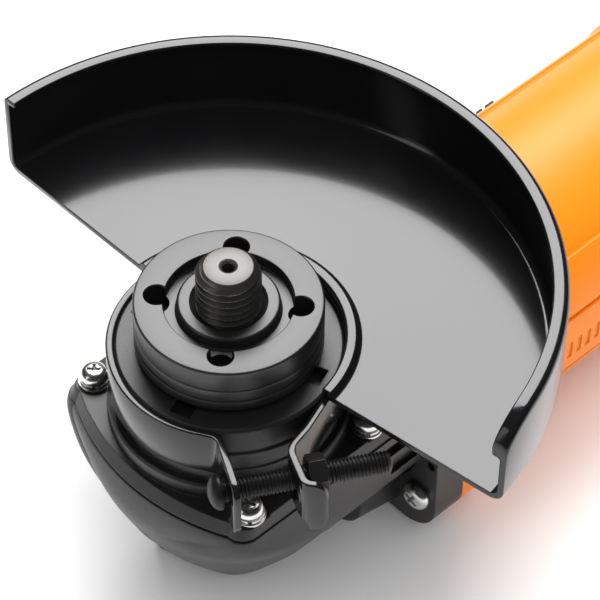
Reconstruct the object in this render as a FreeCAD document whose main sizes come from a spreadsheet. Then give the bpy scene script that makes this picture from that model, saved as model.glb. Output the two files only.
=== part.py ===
import FreeCAD, Part
import math
import os

import Sketcher
from FreeCAD import Placement, Rotation, Vector

# Angle grinder, 125 mm class, lying on the top face of its gear case.
# Millimetres. The origin is on the spindle axis at that face, +Z runs along
# the spindle to its threaded end and +X along the motor to the cord end.

SIZES = {
    # spindle and its fittings, heights measured from the resting face
    "spindle_foot": 4.5, "journal_radius": 4.0, "journal_top": 14.0,
    "stem_radius": 5.0, "seat_radius": 6.0, "seat_bottom": 37.0, "seat_top": 60.0,
    "collar_radius": 8.5, "collar_top": 66.0, "thread_radius": 7.0,
    "thread_groove": 84.0, "spindle_tip": 94.8, "centre_hole": 1.3,
    "flange_radius": 20.3, "flange_hub": 14.0, "flange_bottom": 72.3,
    "nut_bottom": 78.3, "nut_top": 84.0, "nut_boss": 11.1, "nut_recess": 13.9,
    "nut_recess_floor": 81.2, "nut_pin_hole": 2.7, "nut_pin_circle": 15.25,
    "nut_pin_turn": 41.2, "bore_gap": 0.05,
    # bearing cover with the neck that carries the wheel guard
    "cover_bottom": 47.0, "cover_plate_top": 50.0, "neck_radius": 24.7, "neck_top": 70.7,
    "neck_bead": 26.7, "neck_bead_top": 54.0, "spindle_bearing_radius": 16.0,
    "spindle_bearing_low": 50.0, "seal_bore": 13.0, "seal_low": 60.2, "seal_top": 62.8,
    "counterbore": 17.5, "counterbore_low": 63.0, "gasket": 0.4,
    "cover_screw_fore": 17.4, "cover_screw_side": 25.0, "cover_nose": 29.4, "cover_side": 29.2,
    # gear case
    "case_rear": 24.0, "waist_side": 21.5, "waist_top": 55.5, "arch_front": 22.0,
    "arch_top": 24.0, "handle_face": 23.6,
    "flange_fore": 33.0, "flange_rear": 42.0, "flange_side": 32.5, "flange_half": 30.0,
    "flange_corner": 10.0, "case_screw_side": 27.2, "case_screw_rise": 18.0,
    "case_cavity": 25.8, "bush_radius": 6.0, "bush_low": 5.0, "bush_top": 13.0,
    "handle_thread": 3.4, "handle_thread_depth": 10.0, "handle_hole_height": 23.0,
    # spindle lock
    "lock_reach": 13.0, "lock_turn": 140.0, "lock_button": 4.6, "lock_face": 1.2,
    "lock_head": 10.0, "lock_pin": 1.75, "lock_pin_top": 39.3, "lock_pocket": 5.0,
    "lock_pocket_top": 17.9,
    # wheel guard and its clamp band
    "band_inner": 24.8, "band_wall": 1.6, "band_low": 59.0, "guard_plate_low": 70.9,
    "sheet": 1.5, "guard_radius": 71.0, "guard_top": 93.4, "guard_start": -81.0,
    "guard_sweep": 172.3, "bolt_height": 65.0, "bolt_radius": 2.5,
    # bevel gears
    "tooth_module": 1.1, "pinion_teeth": 12, "ring_teeth": 42, "cone_inner": 18.0,
    "motor_height": 32.0, "ring_bore": 6.02, "ring_top": 45.5, "ring_rim": 23.7,
    # armature line, distances along X from the spindle axis
    "shaft_front": 10.5, "pinion_bore": 3.02, "pinion_rear": 24.6, "shaft_radius": 5.0,
    "front_bearing": 25.0, "front_bearing_end": 31.0, "front_bearing_radius": 11.0,
    "fan_front": 35.0, "fan_rear": 45.0, "fan_radius": 25.5, "baffle_front": 46.2,
    "core_front": 58.0, "core_rear": 96.0, "core_radius": 16.0, "stator_bore": 16.6,
    "stator_radius": 27.2, "stator_flat": 24.2, "commutator_front": 106.0,
    "commutator_rear": 120.0, "commutator_radius": 10.5, "brush_front": 111.0,
    "brush_rear": 117.0, "brush_half": 2.6, "brush_top": 22.0, "holder_low": 13.0,
    "holder_top": 26.0, "rear_bearing": 125.0, "rear_bearing_end": 132.0,
    "rear_bearing_radius": 11.0, "rear_journal": 4.0, "shaft_end": 136.0,
    # motor housing and rear handle
    "housing_rear": 172.0, "barrel_radius": 30.0, "barrel_bore": 27.6, "grip_start": 143.0,
    "grip_radius": 31.6, "handle_rear": 245.0, "handle_wall": 2.6, "cord_bore": 4.2,
    "switch_slot": 95.0, "switch_slot_end": 113.0,
}

doc = FreeCAD.newDocument("AngleGrinder")
sheet = doc.addObject("Spreadsheet::Sheet", "Sizes")
for row, (alias, number) in enumerate(SIZES.items(), 1):
    sheet.set(f"A{row}", alias)
    sheet.set(f"B{row}", str(number))
    sheet.setAlias(f"B{row}", alias)
doc.recompute()

X_AXIS, Y_AXIS, Z_AXIS = Vector(1, 0, 0), Vector(0, 1, 0), Vector(0, 0, 1)
pieces = {}


# ---------------------------------------------------------------- helpers
def size(alias):
    """The number that the sheet holds under this alias."""
    return float(sheet.get(alias))


def bound(text):
    """An expression on the sheet, written with @ before each alias."""
    return text.replace("@", "Sizes.")


def number(text):
    """What such an expression comes to now."""
    return float(sheet.evalExpression(bound(text)))


def keep(label, thing):
    """Lists a finished sub-part under the name that its file takes."""
    thing.Label = label
    pieces[label] = thing
    return thing


def feature(label, shape, placement=None):
    """A sub-part whose shape comes from Part's own functions."""
    thing = doc.addObject("Part::Feature", label)
    thing.Shape = shape
    thing.Placement = (placement or Placement()).multiply(shape.Placement)
    return keep(label, thing)


def new_body(label, lift=None):
    """A PartDesign body, raised to the motor axis where lift says so."""
    body = keep(label, doc.addObject("PartDesign::Body", label))
    if lift:
        body.setExpression("Placement.Base.z", bound(lift))
    return body


def sketch_on(body, name, role, offset=None):
    """A sketch on one of the body's origin planes, moved along its normal."""
    plane = next(f for f in body.Origin.OriginFeatures if f.Role == role)
    sketch = body.newObject("Sketcher::SketchObject", name)
    sketch.AttachmentSupport = [(plane, "")]
    sketch.MapMode = "FlatFace"
    if offset:
        sketch.setExpression("AttachmentOffset.Base.z", bound(offset))
    return sketch


def polygon(sketch, points):
    """A closed outline whose corners are bound to the sheet."""
    first = sketch.GeometryCount
    corners = [Vector(number(u), number(v), 0) for u, v in points]
    count = len(corners)
    for i in range(count):
        sketch.addGeometry(Part.LineSegment(corners[i], corners[(i + 1) % count]))
    for i in range(count):
        joined = first + (i + 1) % count
        sketch.addConstraint(Sketcher.Constraint("Coincident", first + i, 2, joined, 1))
    for i, (point, corner) in enumerate(zip(points, corners)):
        for kind, text, where in zip(("DistanceX", "DistanceY"), point, corner):
            rule = Sketcher.Constraint(kind, -1, 1, first + i, 1, where)
            place = sketch.addConstraint(rule)
            sketch.setExpression(f"Constraints[{place}]", bound(text))
    return sketch


def circle(sketch, across, along, radius):
    """A circle whose centre and radius are bound to the sheet."""
    centre = Vector(number(across), number(along), 0)
    index = sketch.addGeometry(Part.Circle(centre, Vector(0, 0, 1), number(radius)))
    rules = (
        (Sketcher.Constraint("DistanceX", -1, 1, index, 3, centre.x), across),
        (Sketcher.Constraint("DistanceY", -1, 1, index, 3, centre.y), along),
        (Sketcher.Constraint("Radius", index, number(radius)), radius),
    )
    for rule, text in rules:
        place = sketch.addConstraint(rule)
        sketch.setExpression(f"Constraints[{place}]", bound(text))
    return sketch


def pad(body, sketch, length, name="Pad"):
    """Material added from the sketch along its normal."""
    thing = body.newObject("PartDesign::Pad", name)
    thing.Profile = sketch
    thing.setExpression("Length", bound(length))
    doc.recompute()
    return thing


def pocket(body, sketch, length, name="Pocket"):
    """Material taken away from the sketch along its normal."""
    thing = body.newObject("PartDesign::Pocket", name)
    thing.Profile = sketch
    thing.Reversed = True
    thing.setExpression("Length", bound(length))
    doc.recompute()
    return thing


def turn(body, sketch, axis="V_Axis", kind="PartDesign::Revolution", angle=None):
    """A revolution or groove about one of the sketch's own axes."""
    thing = body.newObject(kind, kind.split("::")[1])
    thing.Profile = sketch
    thing.ReferenceAxis = (sketch, [axis])
    thing.Angle = 360
    if angle:
        thing.setExpression("Angle", bound(angle))
    doc.recompute()
    return thing


def polar(body, source, count, role="Z_Axis"):
    """The source feature repeated round one of the body's own axes."""
    axis = next(f for f in body.Origin.OriginFeatures if f.Role == role)
    thing = body.newObject("PartDesign::PolarPattern", "PolarPattern")
    thing.Originals = [source]
    thing.Axis = (axis, [""])
    thing.Angle = 360
    thing.Occurrences = count
    body.Tip = thing
    doc.recompute()
    return thing


def turned(label, points, along_x=False):
    """A piece turned from one profile: (radius, height), or (x, radius) on X."""
    body = new_body(label, "@motor_height" if along_x else None)
    profile = polygon(sketch_on(body, label + "_profile", "XZ_Plane"), points)
    turn(body, profile, "H_Axis" if along_x else "V_Axis")
    return body


def ring(label, inner, outer, low, high, along_x=False):
    """A plain ring between two radii and two stations."""
    if along_x:
        points = [(low, inner), (high, inner), (high, outer), (low, outer)]
    else:
        points = [(inner, low), (outer, low), (outer, high), (inner, high)]
    return turned(label, points, along_x)


def tube(inner, outer, start, end, axis=X_AXIS, centre=None):
    """A ring solid made directly, along the motor axis unless told otherwise."""
    centre = centre or Vector(0, 0, size("motor_height"))
    base = centre + axis * start
    shape = Part.makeCylinder(outer, end - start, base, axis)
    if inner:
        shape = shape.cut(Part.makeCylinder(inner, end - start, base, axis))
    return shape


def block(low, high):
    """A box between two opposite corners."""
    low, high = Vector(*low), Vector(*high)
    span = high - low
    return Part.makeBox(span.x, span.y, span.z, low)


def spun(shape, degrees, axis=X_AXIS, centre=None):
    """A copy turned about the motor axis, or about another one."""
    copy = shape.copy()
    copy.rotate(centre or Vector(0, 0, size("motor_height")), axis, degrees)
    return copy


def rounded_section(station, low, high, half, radius):
    """A rounded rectangle across X, from low to high and half to each side."""
    corners = ((half, high, 0), (-half, high, 90), (-half, low, 180), (half, low, 270))
    edges = []
    for side, level, start in corners:
        centre = Vector(
            station,
            side - math.copysign(radius, side),
            level - math.copysign(radius, level - (low + high) / 2),
        )
        ends = []
        for degrees in (start, start + 45, start + 90):
            turned_by = math.radians(degrees)
            reach = Vector(0, math.cos(turned_by), math.sin(turned_by)) * radius
            ends.append(centre + reach)
        edges.append(Part.Arc(*ends).toShape())
    joined = []
    for i, edge in enumerate(edges):
        following = edges[(i + 1) % 4]
        joined.append(edge)
        gap = Part.LineSegment(edge.Vertexes[-1].Point, following.Vertexes[0].Point)
        joined.append(gap.toShape())
    return Part.Wire(joined)


def screw(length, radius, head_radius, head_height, recess=True):
    """A pan-head screw along -Z with its seat at the origin."""
    top, edge = head_height, head_height * 0.4
    dome = (head_radius ** 2 + (top - edge) ** 2) / (2 * (top - edge))
    halfway = head_radius / 2
    drop = dome - math.sqrt(dome ** 2 - halfway ** 2)
    crown = Part.Arc(Vector(head_radius, 0, edge), Vector(halfway, 0, top - drop),
                     Vector(0, 0, top)).toShape()
    outline = Part.makePolygon([Vector(0, 0, top), Vector(0, 0, -length),
                                Vector(radius * 0.6, 0, -length),
                                Vector(radius, 0, -length + radius * 0.5),
                                Vector(radius, 0, 0), Vector(head_radius, 0, 0),
                                Vector(head_radius, 0, edge)])
    face = Part.Face(Part.Wire(outline.Edges + [crown]))
    shape = face.revolve(Vector(), Z_AXIS, 360)
    if recess:
        slot, reach, depth = head_radius * 0.14, head_radius * 0.55, top * 0.55
        shape = shape.cut(block((-slot, -reach, top - depth), (slot, reach, top + 1)))
        shape = shape.cut(block((-reach, -slot, top - depth), (reach, slot, top + 1)))
    return shape


def group(shapes):
    """Separate solids kept in one node."""
    return Part.makeCompound([solid for shape in shapes for solid in shape.Solids])


def placed(shape, where, direction=Z_AXIS):
    """A copy moved to a point with its +Z turned to a direction."""
    copy = shape.copy()
    copy.Placement = Placement(where, Rotation(Z_AXIS, direction))
    return copy


# ---------------------------------------------------------------- spindle
def make_spindle():
    """The output shaft: needle journal, gear seat, collar and M14 thread."""
    tip_chamfer = "@spindle_tip - 1.6"
    body = turned("spindle", [
        ("0", "@spindle_foot"), ("@journal_radius - 0.4", "@spindle_foot"),
        ("@journal_radius", "@spindle_foot + 0.6"), ("@journal_radius", "@journal_top"),
        ("@stem_radius", "@journal_top + 0.6"), ("@stem_radius", "@seat_bottom"),
        ("@seat_radius", "@seat_bottom"), ("@seat_radius", "@seat_top"),
        ("@collar_radius", "@seat_top"), ("@collar_radius", "@collar_top"),
        ("@thread_radius", "@collar_top"), ("@thread_radius", "@thread_groove"),
        ("@thread_radius - 0.4", "@thread_groove + 0.1"),
        ("@thread_radius - 0.4", "@thread_groove + 0.5"),
        ("@thread_radius", "@thread_groove + 0.6"), ("@thread_radius", tip_chamfer),
        ("@thread_radius - 1.7", "@spindle_tip"), ("0", "@spindle_tip"),
    ])
    drilled = sketch_on(body, "centre_hole_profile", "XY_Plane", "@spindle_tip - 3")
    pocket(body, circle(drilled, "0", "0", "@centre_hole"), "4")


def make_flange_and_nut():
    """The inner flange, and the lock nut with four spanner holes."""
    turned("inner_flange", [
        ("@thread_radius + @bore_gap", "@collar_top"), ("@flange_hub", "@collar_top"),
        ("@flange_hub", "@flange_bottom"), ("@flange_radius - 1", "@flange_bottom"),
        ("@flange_radius", "@flange_bottom + 1"), ("@flange_radius", "@nut_bottom - 0.4"),
        ("@flange_radius - 0.4", "@nut_bottom"), ("@thread_radius + @bore_gap", "@nut_bottom"),
    ])
    nut = turned("lock_nut", [
        ("@thread_radius + @bore_gap", "@nut_bottom"), ("@flange_radius - 0.3", "@nut_bottom"),
        ("@flange_radius", "@nut_bottom + 0.3"), ("@flange_radius", "@nut_top - 0.5"),
        ("@flange_radius - 0.5", "@nut_top"), ("@nut_recess + 0.2", "@nut_top"),
        ("@nut_recess", "@nut_top - 0.2"), ("@nut_recess", "@nut_recess_floor"),
        ("@nut_boss", "@nut_recess_floor"), ("@nut_boss", "@nut_top - 0.4"),
        ("@nut_boss - 0.6", "@nut_top"), ("8.1", "@nut_top"), ("7.6", "@nut_top - 0.8"),
        ("@thread_radius + @bore_gap", "@nut_top - 1.4"),
    ])
    holes = sketch_on(nut, "spanner_hole_profile", "XY_Plane", "@nut_bottom + 1")
    across = "@nut_pin_circle * cos(@nut_pin_turn * 1deg)"
    along = "@nut_pin_circle * sin(@nut_pin_turn * 1deg)"
    hole = pocket(nut, circle(holes, across, along, "@nut_pin_hole"), "8")
    polar(nut, hole, 4)


def race_pair(prefix, inner, outer, gap, ball, count, low, high, along_x):
    """A ball bearing: outer ring, inner ring and a set of balls."""
    pitch = (inner + outer) / 2
    middle = (low + high) / 2
    axis = X_AXIS if along_x else Z_AXIS
    centre = Vector(0, 0, size("motor_height")) if along_x else Vector()
    lane = Part.makeTorus(pitch, ball + gap, centre + axis * middle, axis)
    outer_ring = tube(pitch + 0.55 * ball, outer, low, high, axis, centre).cut(lane)
    inner_ring = tube(inner, pitch - 0.55 * ball, low, high, axis, centre).cut(lane)
    start = Vector(0, 0, pitch) if along_x else Vector(pitch, 0, 0)
    balls = []
    for i in range(count):
        one = Part.makeSphere(ball, centre + axis * middle + start)
        balls.append(spun(one, i * 360 / count, axis, centre))
    feature(prefix + "_outer_ring", outer_ring)
    feature(prefix + "_inner_ring", inner_ring)
    feature(prefix + "_balls", group(balls))


def make_bearings():
    """Spindle bearing, both armature bearings, and the needle bush."""
    low = size("spindle_bearing_low")
    race_pair("spindle_bearing", 6.01, size("spindle_bearing_radius"), 0.12, 2.9, 8,
              low, low + 10, False)
    race_pair("front_bearing", 5.01, size("front_bearing_radius"), 0.1, 1.7, 10,
              size("front_bearing"), size("front_bearing_end"), True)
    race_pair("rear_bearing", 4.01, size("rear_bearing_radius"), 0.1, 2.0, 8,
              size("rear_bearing"), size("rear_bearing_end"), True)
    ring("rear_bearing_sleeve", "@rear_bearing_radius", "@rear_bearing_radius + 1.5",
         "@rear_bearing", "@rear_bearing_end", True)
    ring("needle_bush", "@journal_radius + 0.04", "@bush_radius", "@bush_low", "@bush_top")
    ring("dust_seal", "@collar_radius + 0.08", "@seal_bore", "@seal_low", "@seal_top")
    ring("bearing_circlip", "14.6", "17", "@spindle_bearing_low - 1.2", "@spindle_bearing_low")
    ring("gear_circlip", "@seat_radius + 0.02", "8.2", "38.6", "39.8")


# ---------------------------------------------------------------- bevel gears
class Bevel:
    """A straight bevel gear whose cone tip is where the two axes cross."""

    def __init__(self, teeth, mate, axis, side, addendum, slack):
        self.teeth, self.axis, self.side = teeth, axis, side
        self.angle = math.atan2(teeth, mate)
        self.modulus = size("tooth_module")
        self.reach = self.modulus * math.hypot(teeth, mate) / 2
        self.inner = size("cone_inner") / self.reach
        self.apex = Vector(0, 0, size("motor_height"))
        self.line = axis * math.cos(self.angle) + side * math.sin(self.angle)
        self.out = side * math.cos(self.angle) - axis * math.sin(self.angle)
        self.across = axis.cross(side)
        self.addendum, self.slack = addendum * self.modulus, slack * self.modulus
        self.virtual = self.reach * math.tan(self.angle)

    def half_width(self, radius):
        """Half a tooth's thickness at a radius of the virtual spur gear."""
        base = self.virtual * math.cos(math.radians(20))
        turned_by = math.acos(min(1, base / max(radius, base)))
        rise = math.tan(turned_by) - turned_by
        start = math.tan(math.radians(20)) - math.radians(20)
        middle = math.pi * self.modulus / (4 * self.virtual)
        return radius * (middle + start - rise) - self.slack

    def section(self, scale):
        """A tooth's outline square to the cone, scaled towards the tip."""
        low = self.virtual - 1.6 * self.modulus
        high = self.virtual + self.addendum
        radii = [low + (high - low) * i / 6 for i in range(7)]
        right = [(self.half_width(r), r - self.virtual) for r in radii]
        left = [(-wide, rise) for wide, rise in reversed(right)]
        points = []
        for wide, rise in right + left:
            step = self.line * self.reach + self.out * rise + self.across * wide
            points.append(self.apex + step * scale)
        return Part.makePolygon(points + points[:1])

    def tooth(self):
        """One tooth, from its outer to its inner end."""
        return Part.makeLoft([self.section(1), self.section(self.inner)], True, True)

    def root(self, scale):
        """The point of the root cone at this scale: along the axis, off it."""
        step = self.line * self.reach - self.out * (1.25 * self.modulus)
        return step.dot(self.axis) * scale, step.dot(self.side) * scale

    def cut_from(self, profile):
        """The gear: its blank turned from a profile, and its teeth."""
        points = [self.apex + self.axis * along + self.side * off for along, off in profile]
        face = Part.Face(Part.makePolygon(points + points[:1]))
        blank = face.revolve(self.apex, self.axis, 360)
        tooth, step = self.tooth(), 360 / self.teeth
        teeth = [spun(tooth, i * step, self.axis, self.apex) for i in range(self.teeth)]
        return blank.fuse(teeth).removeSplitter()


def make_gears():
    """The ring gear on the spindle and the pinion on the armature shaft."""
    small, large = int(size("pinion_teeth")), int(size("ring_teeth"))
    drop = size("motor_height")
    gear = Bevel(large, small, Z_AXIS, X_AXIS, 0.8, 0.1)
    (outer_up, outer_off), (inner_up, inner_off) = gear.root(1), gear.root(gear.inner)
    web = 8.0
    shape = gear.cut_from([
        (web, size("ring_bore")), (web, inner_off - 0.9), (inner_up, inner_off),
        (outer_up, outer_off), (outer_up + 0.4, size("ring_rim")),
        (size("ring_top") - drop, size("ring_rim")), (size("ring_top") - drop, size("ring_bore")),
    ])
    for i in range(7):
        hole = Part.makeCylinder(2.3, 20, lock_spot() + Vector(0, 0, drop))
        shape = shape.cut(spun(hole, i * 360 / 7, Z_AXIS, Vector()))
    feature("ring_gear", shape)

    pinion = Bevel(small, large, X_AXIS, Z_AXIS, 0.95, 0.1)
    (outer_up, outer_off), (inner_up, inner_off) = pinion.root(1), pinion.root(pinion.inner)
    bore = size("pinion_bore")
    shape = pinion.cut_from([
        (inner_up, bore), (inner_up, inner_off), (outer_up, outer_off),
        (size("pinion_rear"), outer_off), (size("pinion_rear"), bore),
    ])
    half_pitch = 180 / small
    feature("bevel_pinion", spun(shape, half_pitch))
    nut_front, nut_rear = inner_up - 5, inner_up - 1
    corners = [Vector(nut_front, 0, drop) + spun_point(4.6, 60 * i) for i in range(7)]
    nut = Part.Face(Part.makePolygon(corners)).extrude(Vector(nut_rear - nut_front, 0, 0))
    feature("pinion_nut", nut.cut(tube(0, bore, nut_front, nut_rear)))


def spun_point(radius, degrees):
    """A point round the motor axis, counted from +Z."""
    turned_by = math.radians(degrees)
    return Vector(0, radius * math.sin(turned_by), radius * math.cos(turned_by))


# ---------------------------------------------------------------- gear case
def plan(level, front, side, corner, rear, bow):
    """The case's outline at one height: a bowed front and two square sides."""
    shoulder = side - corner
    nose = Vector(-front, 0, level)
    left = Vector(-front + bow, shoulder, level)
    right = Vector(-front + bow, -shoulder, level)
    tail = -front + bow + corner
    edges = [Part.Arc(right, nose, left).toShape()]
    slope = math.radians(45)
    for sign in (1, -1):
        centre = Vector(tail, sign * shoulder, level)
        bend = centre + Vector(-math.cos(slope), sign * math.sin(slope), 0) * corner
        start = Vector(-front + bow, sign * shoulder, level)
        end = Vector(tail, sign * side, level)
        order = (start, bend, end) if sign > 0 else (end, bend, start)
        edges.append(Part.Arc(*order).toShape())
    edges.append(Part.LineSegment(Vector(tail, side, level), Vector(rear, side, level)).toShape())
    edges.append(Part.LineSegment(Vector(rear, side, level), Vector(rear, -side, level)).toShape())
    edges.append(Part.LineSegment(Vector(rear, -side, level), Vector(tail, -side, level)).toShape())
    return Part.Wire(Part.__sortEdges__(edges))


# height, reach of the nose, half width, corner radius and how far the front is bowed
CASE_STATIONS = [
    (0, 9.6, 10.2, 9.0, 0.3), (5, 13.0, 13.8, 12.6, 0.3), (10, 16.4, 17.0, 15.8, 0.3),
    (15, 19.8, 20.2, 19.2, 0.3), (20, 23.0, 23.4, 22.4, 0.3), (25, 25.7, 26.3, 24.8, 0.4),
    (30, 27.9, 28.6, 25.6, 0.8), (34, 29.6, 29.8, 23.0, 1.6), (38, 30.9, 30.4, 17.0, 3.2),
    (42, 30.9, 30.2, 9.5, 5.0), (46.6, 29.7, 29.5, 4.5, 6.0),
]


def make_gear_case():
    """The cast case: domed nose, waist, rear flange, cavity and bores."""
    rear, fore = size("case_rear"), size("flange_fore")
    top = size("cover_bottom") - size("gasket")
    sections = [plan(level, nose, side, corner, fore, bow)
                for level, nose, side, corner, bow in CASE_STATIONS]
    shape = Part.makeLoft(sections, True, False)
    middle, half = size("motor_height"), size("flange_half")
    waist_side = size("waist_side")
    waist_top = size("waist_top")
    waist = [rounded_section(rear - 4, 4, waist_top, waist_side, 10),
             rounded_section(size("flange_fore"), 3.2, waist_top, waist_side + 1.6, 10)]
    waist = Part.makeLoft(waist, True, True)
    neck_room = Part.makeCylinder(size("neck_bead") + 0.4, 30, Vector(0, 0, top))
    shape = shape.fuse(waist.cut(neck_room))
    flange = rounded_section(size("flange_fore"), middle - half, middle + half,
                             size("flange_side"), size("flange_corner"))
    length = size("flange_rear") - size("flange_fore")
    shape = shape.fuse(Part.Face(flange).extrude(Vector(length, 0, 0)))
    shape = shape.cut(tube(0, 27.0, size("flange_fore"), size("flange_rear")))
    shape = shape.cut(case_arches())
    shape = shape.cut(case_cavity(top))
    shape = shape.cut(case_bores(top))
    shape = shape.cut(block((-60, -60, top), (rear + 0.01, 60, 80)))
    feature("gear_case", shape.removeSplitter())


def case_cavity(top):
    """The space that the gears turn in, and the way out for the shaft."""
    reach = size("case_cavity")
    outline = [(0, 22), (12.5, 22), (12.5, 33), (reach, 35.2), (reach, top + 1), (0, top + 1)]
    points = [Vector(radius, 0, level) for radius, level in outline]
    space = Part.Face(Part.makePolygon(points + points[:1])).revolve(Vector(), Z_AXIS, 360)
    space = space.fuse(tube(0, 9.5, 8, size("front_bearing")))
    bearing_seat = tube(0, size("front_bearing_radius") + 0.01,
                        size("front_bearing"), size("front_bearing_end"))
    way_out = tube(0, 9.0, size("front_bearing") - 1, size("flange_fore") + 1)
    return space.fuse([bearing_seat, way_out])


def case_arches():
    """What is cut from both sides: the arch at the flange, ledges and a small hole."""
    fore, side, reach = size("flange_fore"), size("waist_side"), 40
    front, high, bend = size("arch_front"), size("arch_top"), 5.0
    cuts = []
    for sign in (1, -1):
        low, high_side = sorted((sign * side, sign * reach))
        cuts.append(block((front, low, -1), (fore, high_side, high - bend)))
        cuts.append(block((front + bend, low, -1), (fore, high_side, high)))
        cuts.append(Part.makeCylinder(bend, reach - side, Vector(front + bend, low, high - bend),
                                      Y_AXIS))
        near, far = sorted((sign * 28.6, sign * reach))
        cuts.append(block((17.0, near, 41.6), (31.5, far, 44.4)))
        cuts.append(block((20.5, near, 34.2), (31.5, far, 40.4)))
        cuts.append(Part.makeCylinder(1.2, 4, Vector(fore, sign * 30.3, 26.9), X_AXIS))
    return cuts[0].fuse(cuts[1:])


def lock_spot():
    """Where the spindle lock stands beside the spindle."""
    turn, reach = math.radians(size("lock_turn")), size("lock_reach")
    return Vector(reach * math.cos(turn), reach * math.sin(turn), 0)


def case_bores(top):
    """Holes for the bush, the lock, the screws and the side handle."""
    bush = Part.makeCylinder(size("bush_radius") + 0.01, 20, Vector(0, 0, size("bush_low") - 1.5))
    lock = [Part.makeCylinder(size("lock_pocket"), size("lock_pocket_top"), lock_spot()),
            Part.makeCylinder(size("lock_pin") + 0.25, 36, lock_spot())]
    fore, side = size("cover_screw_fore"), size("cover_screw_side")
    taps = [Part.makeCylinder(2.05, 12, Vector(x, y, top - 11))
            for x in (-fore, fore) for y in (-side, side)]
    across, rise = size("case_screw_side"), size("case_screw_rise")
    middle = size("motor_height")
    for y in (-across, across):
        for z in (middle - rise, middle + rise):
            taps.append(Part.makeCylinder(2.2, 14, Vector(30, y, z), X_AXIS))
            taps.append(Part.makeCylinder(4.3, 8, Vector(size("flange_fore") - 8, y, z), X_AXIS))
    height, depth = size("handle_hole_height"), size("handle_thread_depth")
    wall = size("handle_face")
    for sign in (1, -1):
        start = Vector(0, sign * (wall - depth), height)
        taps.append(Part.makeCylinder(size("handle_thread"), depth + 4, start, Y_AXIS * sign))
        face = Vector(0, sign * wall, height)
        taps.append(Part.makeCylinder(5.5, 6, face, Y_AXIS * sign))
    return bush.fuse(lock + taps)


def make_bearing_cover():
    """The cover plate with the neck that holds bearing, seal and guard."""
    low, high = size("cover_bottom"), size("cover_plate_top")
    rear = size("case_rear")
    nose, side = size("cover_nose"), size("cover_side")
    lower = plan(low, nose, side, 4.4, rear, 6.0)
    upper = plan(high, nose - 1.7, side - 0.9, 3.6, rear, 5.8)
    shape = Part.makeLoft([lower, upper], True, True)
    neck, bead, bead_top = size("neck_radius"), size("neck_bead"), size("neck_bead_top")
    top, counter = size("neck_top"), size("counterbore")
    outline = [(0, high - 1), (bead, high - 1), (bead, bead_top - 0.6), (bead - 0.5, bead_top),
               (neck, bead_top), (neck, 57.4), (neck - 0.5, 57.7), (neck - 0.5, 58.3),
               (neck, 58.6), (neck, 62.6), (neck - 0.6, 63.0), (neck - 0.6, 63.6),
               (neck, 64.0), (neck, top - 0.6), (neck - 0.6, top), (0, top)]
    points = [Vector(radius, 0, level) for radius, level in outline]
    shape = shape.fuse(Part.Face(Part.makePolygon(points + points[:1])).revolve(
        Vector(), Z_AXIS, 360))
    seat = size("spindle_bearing_low")
    bores = [(size("spindle_bearing_radius") + 0.01, low - 1, seat + 10), (17.01, seat - 1.2, seat),
             (size("seal_bore"), seat + 9, top + 1), (counter, size("counterbore_low"), top + 1)]
    for radius, start, end in bores:
        shape = shape.cut(Part.makeCylinder(radius, end - start, Vector(0, 0, start)))
    for degrees in (20, 110, 200, 290):
        notch = block((counter - 1, -2.4, top - 3), (neck - 2.2, 2.4, top + 1))
        shape = shape.cut(spun(notch, degrees, Z_AXIS, Vector()))
    fore, side = size("cover_screw_fore"), size("cover_screw_side")
    for x in (-fore, fore):
        for y in (-side, side):
            shape = shape.cut(Part.makeCylinder(2.2, 9, Vector(x, y, low - 1)))
            seat_face = Part.makeCylinder(4.4, 9, Vector(x, y, high - 0.5))
            shape = shape.cut(seat_face.cut(Part.makeCylinder(bead, 20, Vector(0, 0, high - 2))))
    feature("bearing_cover", shape.removeSplitter())


def make_gasket():
    """The thin sheet between the case and its cover."""
    low, rear = size("cover_bottom") - size("gasket"), size("case_rear") - 0.5
    outline = plan(low, size("cover_nose") - 0.2, size("cover_side") - 0.3, 4.5, rear, 6.0)
    shape = Part.Face(outline).extrude(Vector(0, 0, size("gasket")))
    shape = shape.cut(Part.makeCylinder(size("case_cavity"), 4, Vector(0, 0, low - 1)))
    for x in (-size("cover_screw_fore"), size("cover_screw_fore")):
        for y in (-size("cover_screw_side"), size("cover_screw_side")):
            shape = shape.cut(Part.makeCylinder(2.3, 4, Vector(x, y, low - 1)))
    feature("cover_gasket", shape)


def make_case_fasteners():
    """Cover screws with two washers each, and the flange screws."""
    seat = size("cover_plate_top") - 0.5
    spots = [Vector(x, y, seat)
             for x in (-size("cover_screw_fore"), size("cover_screw_fore"))
             for y in (-size("cover_screw_side"), size("cover_screw_side"))]
    flat, spring = 0.8, 1.1
    washer = tube(2.15, 3.7, 0, flat, Z_AXIS, Vector())
    feature("cover_flat_washers", group([placed(washer, spot) for spot in spots]))
    split = tube(2.15, 3.4, 0, spring, Z_AXIS, Vector()).cut(block((0, -0.35, -1), (5, 0.35, 3)))
    raised = [spot + Z_AXIS * flat for spot in spots]
    rings = [spun(placed(split, spot), -130, Z_AXIS, spot) for spot in raised]
    feature("cover_spring_washers", group(rings))
    bolt = screw(13, 2.0, 3.1, 2.4)
    heads = [spun(placed(bolt, spot + Z_AXIS * spring), 20 + 25 * i, Z_AXIS, spot)
             for i, spot in enumerate(raised)]
    feature("cover_screws", group(heads))
    long_screw = screw(20, 2.0, 3.7, 2.7)
    middle, rise = size("motor_height"), size("case_screw_rise")
    corners = [Vector(size("flange_fore"), y, z)
               for y in (-size("case_screw_side"), size("case_screw_side"))
               for z in (middle - rise, middle + rise)]
    turned_screws = [spun(placed(long_screw, spot, -X_AXIS), 30 + 20 * i, X_AXIS, spot)
                     for i, spot in enumerate(corners)]
    feature("case_screws", group(turned_screws))


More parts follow.
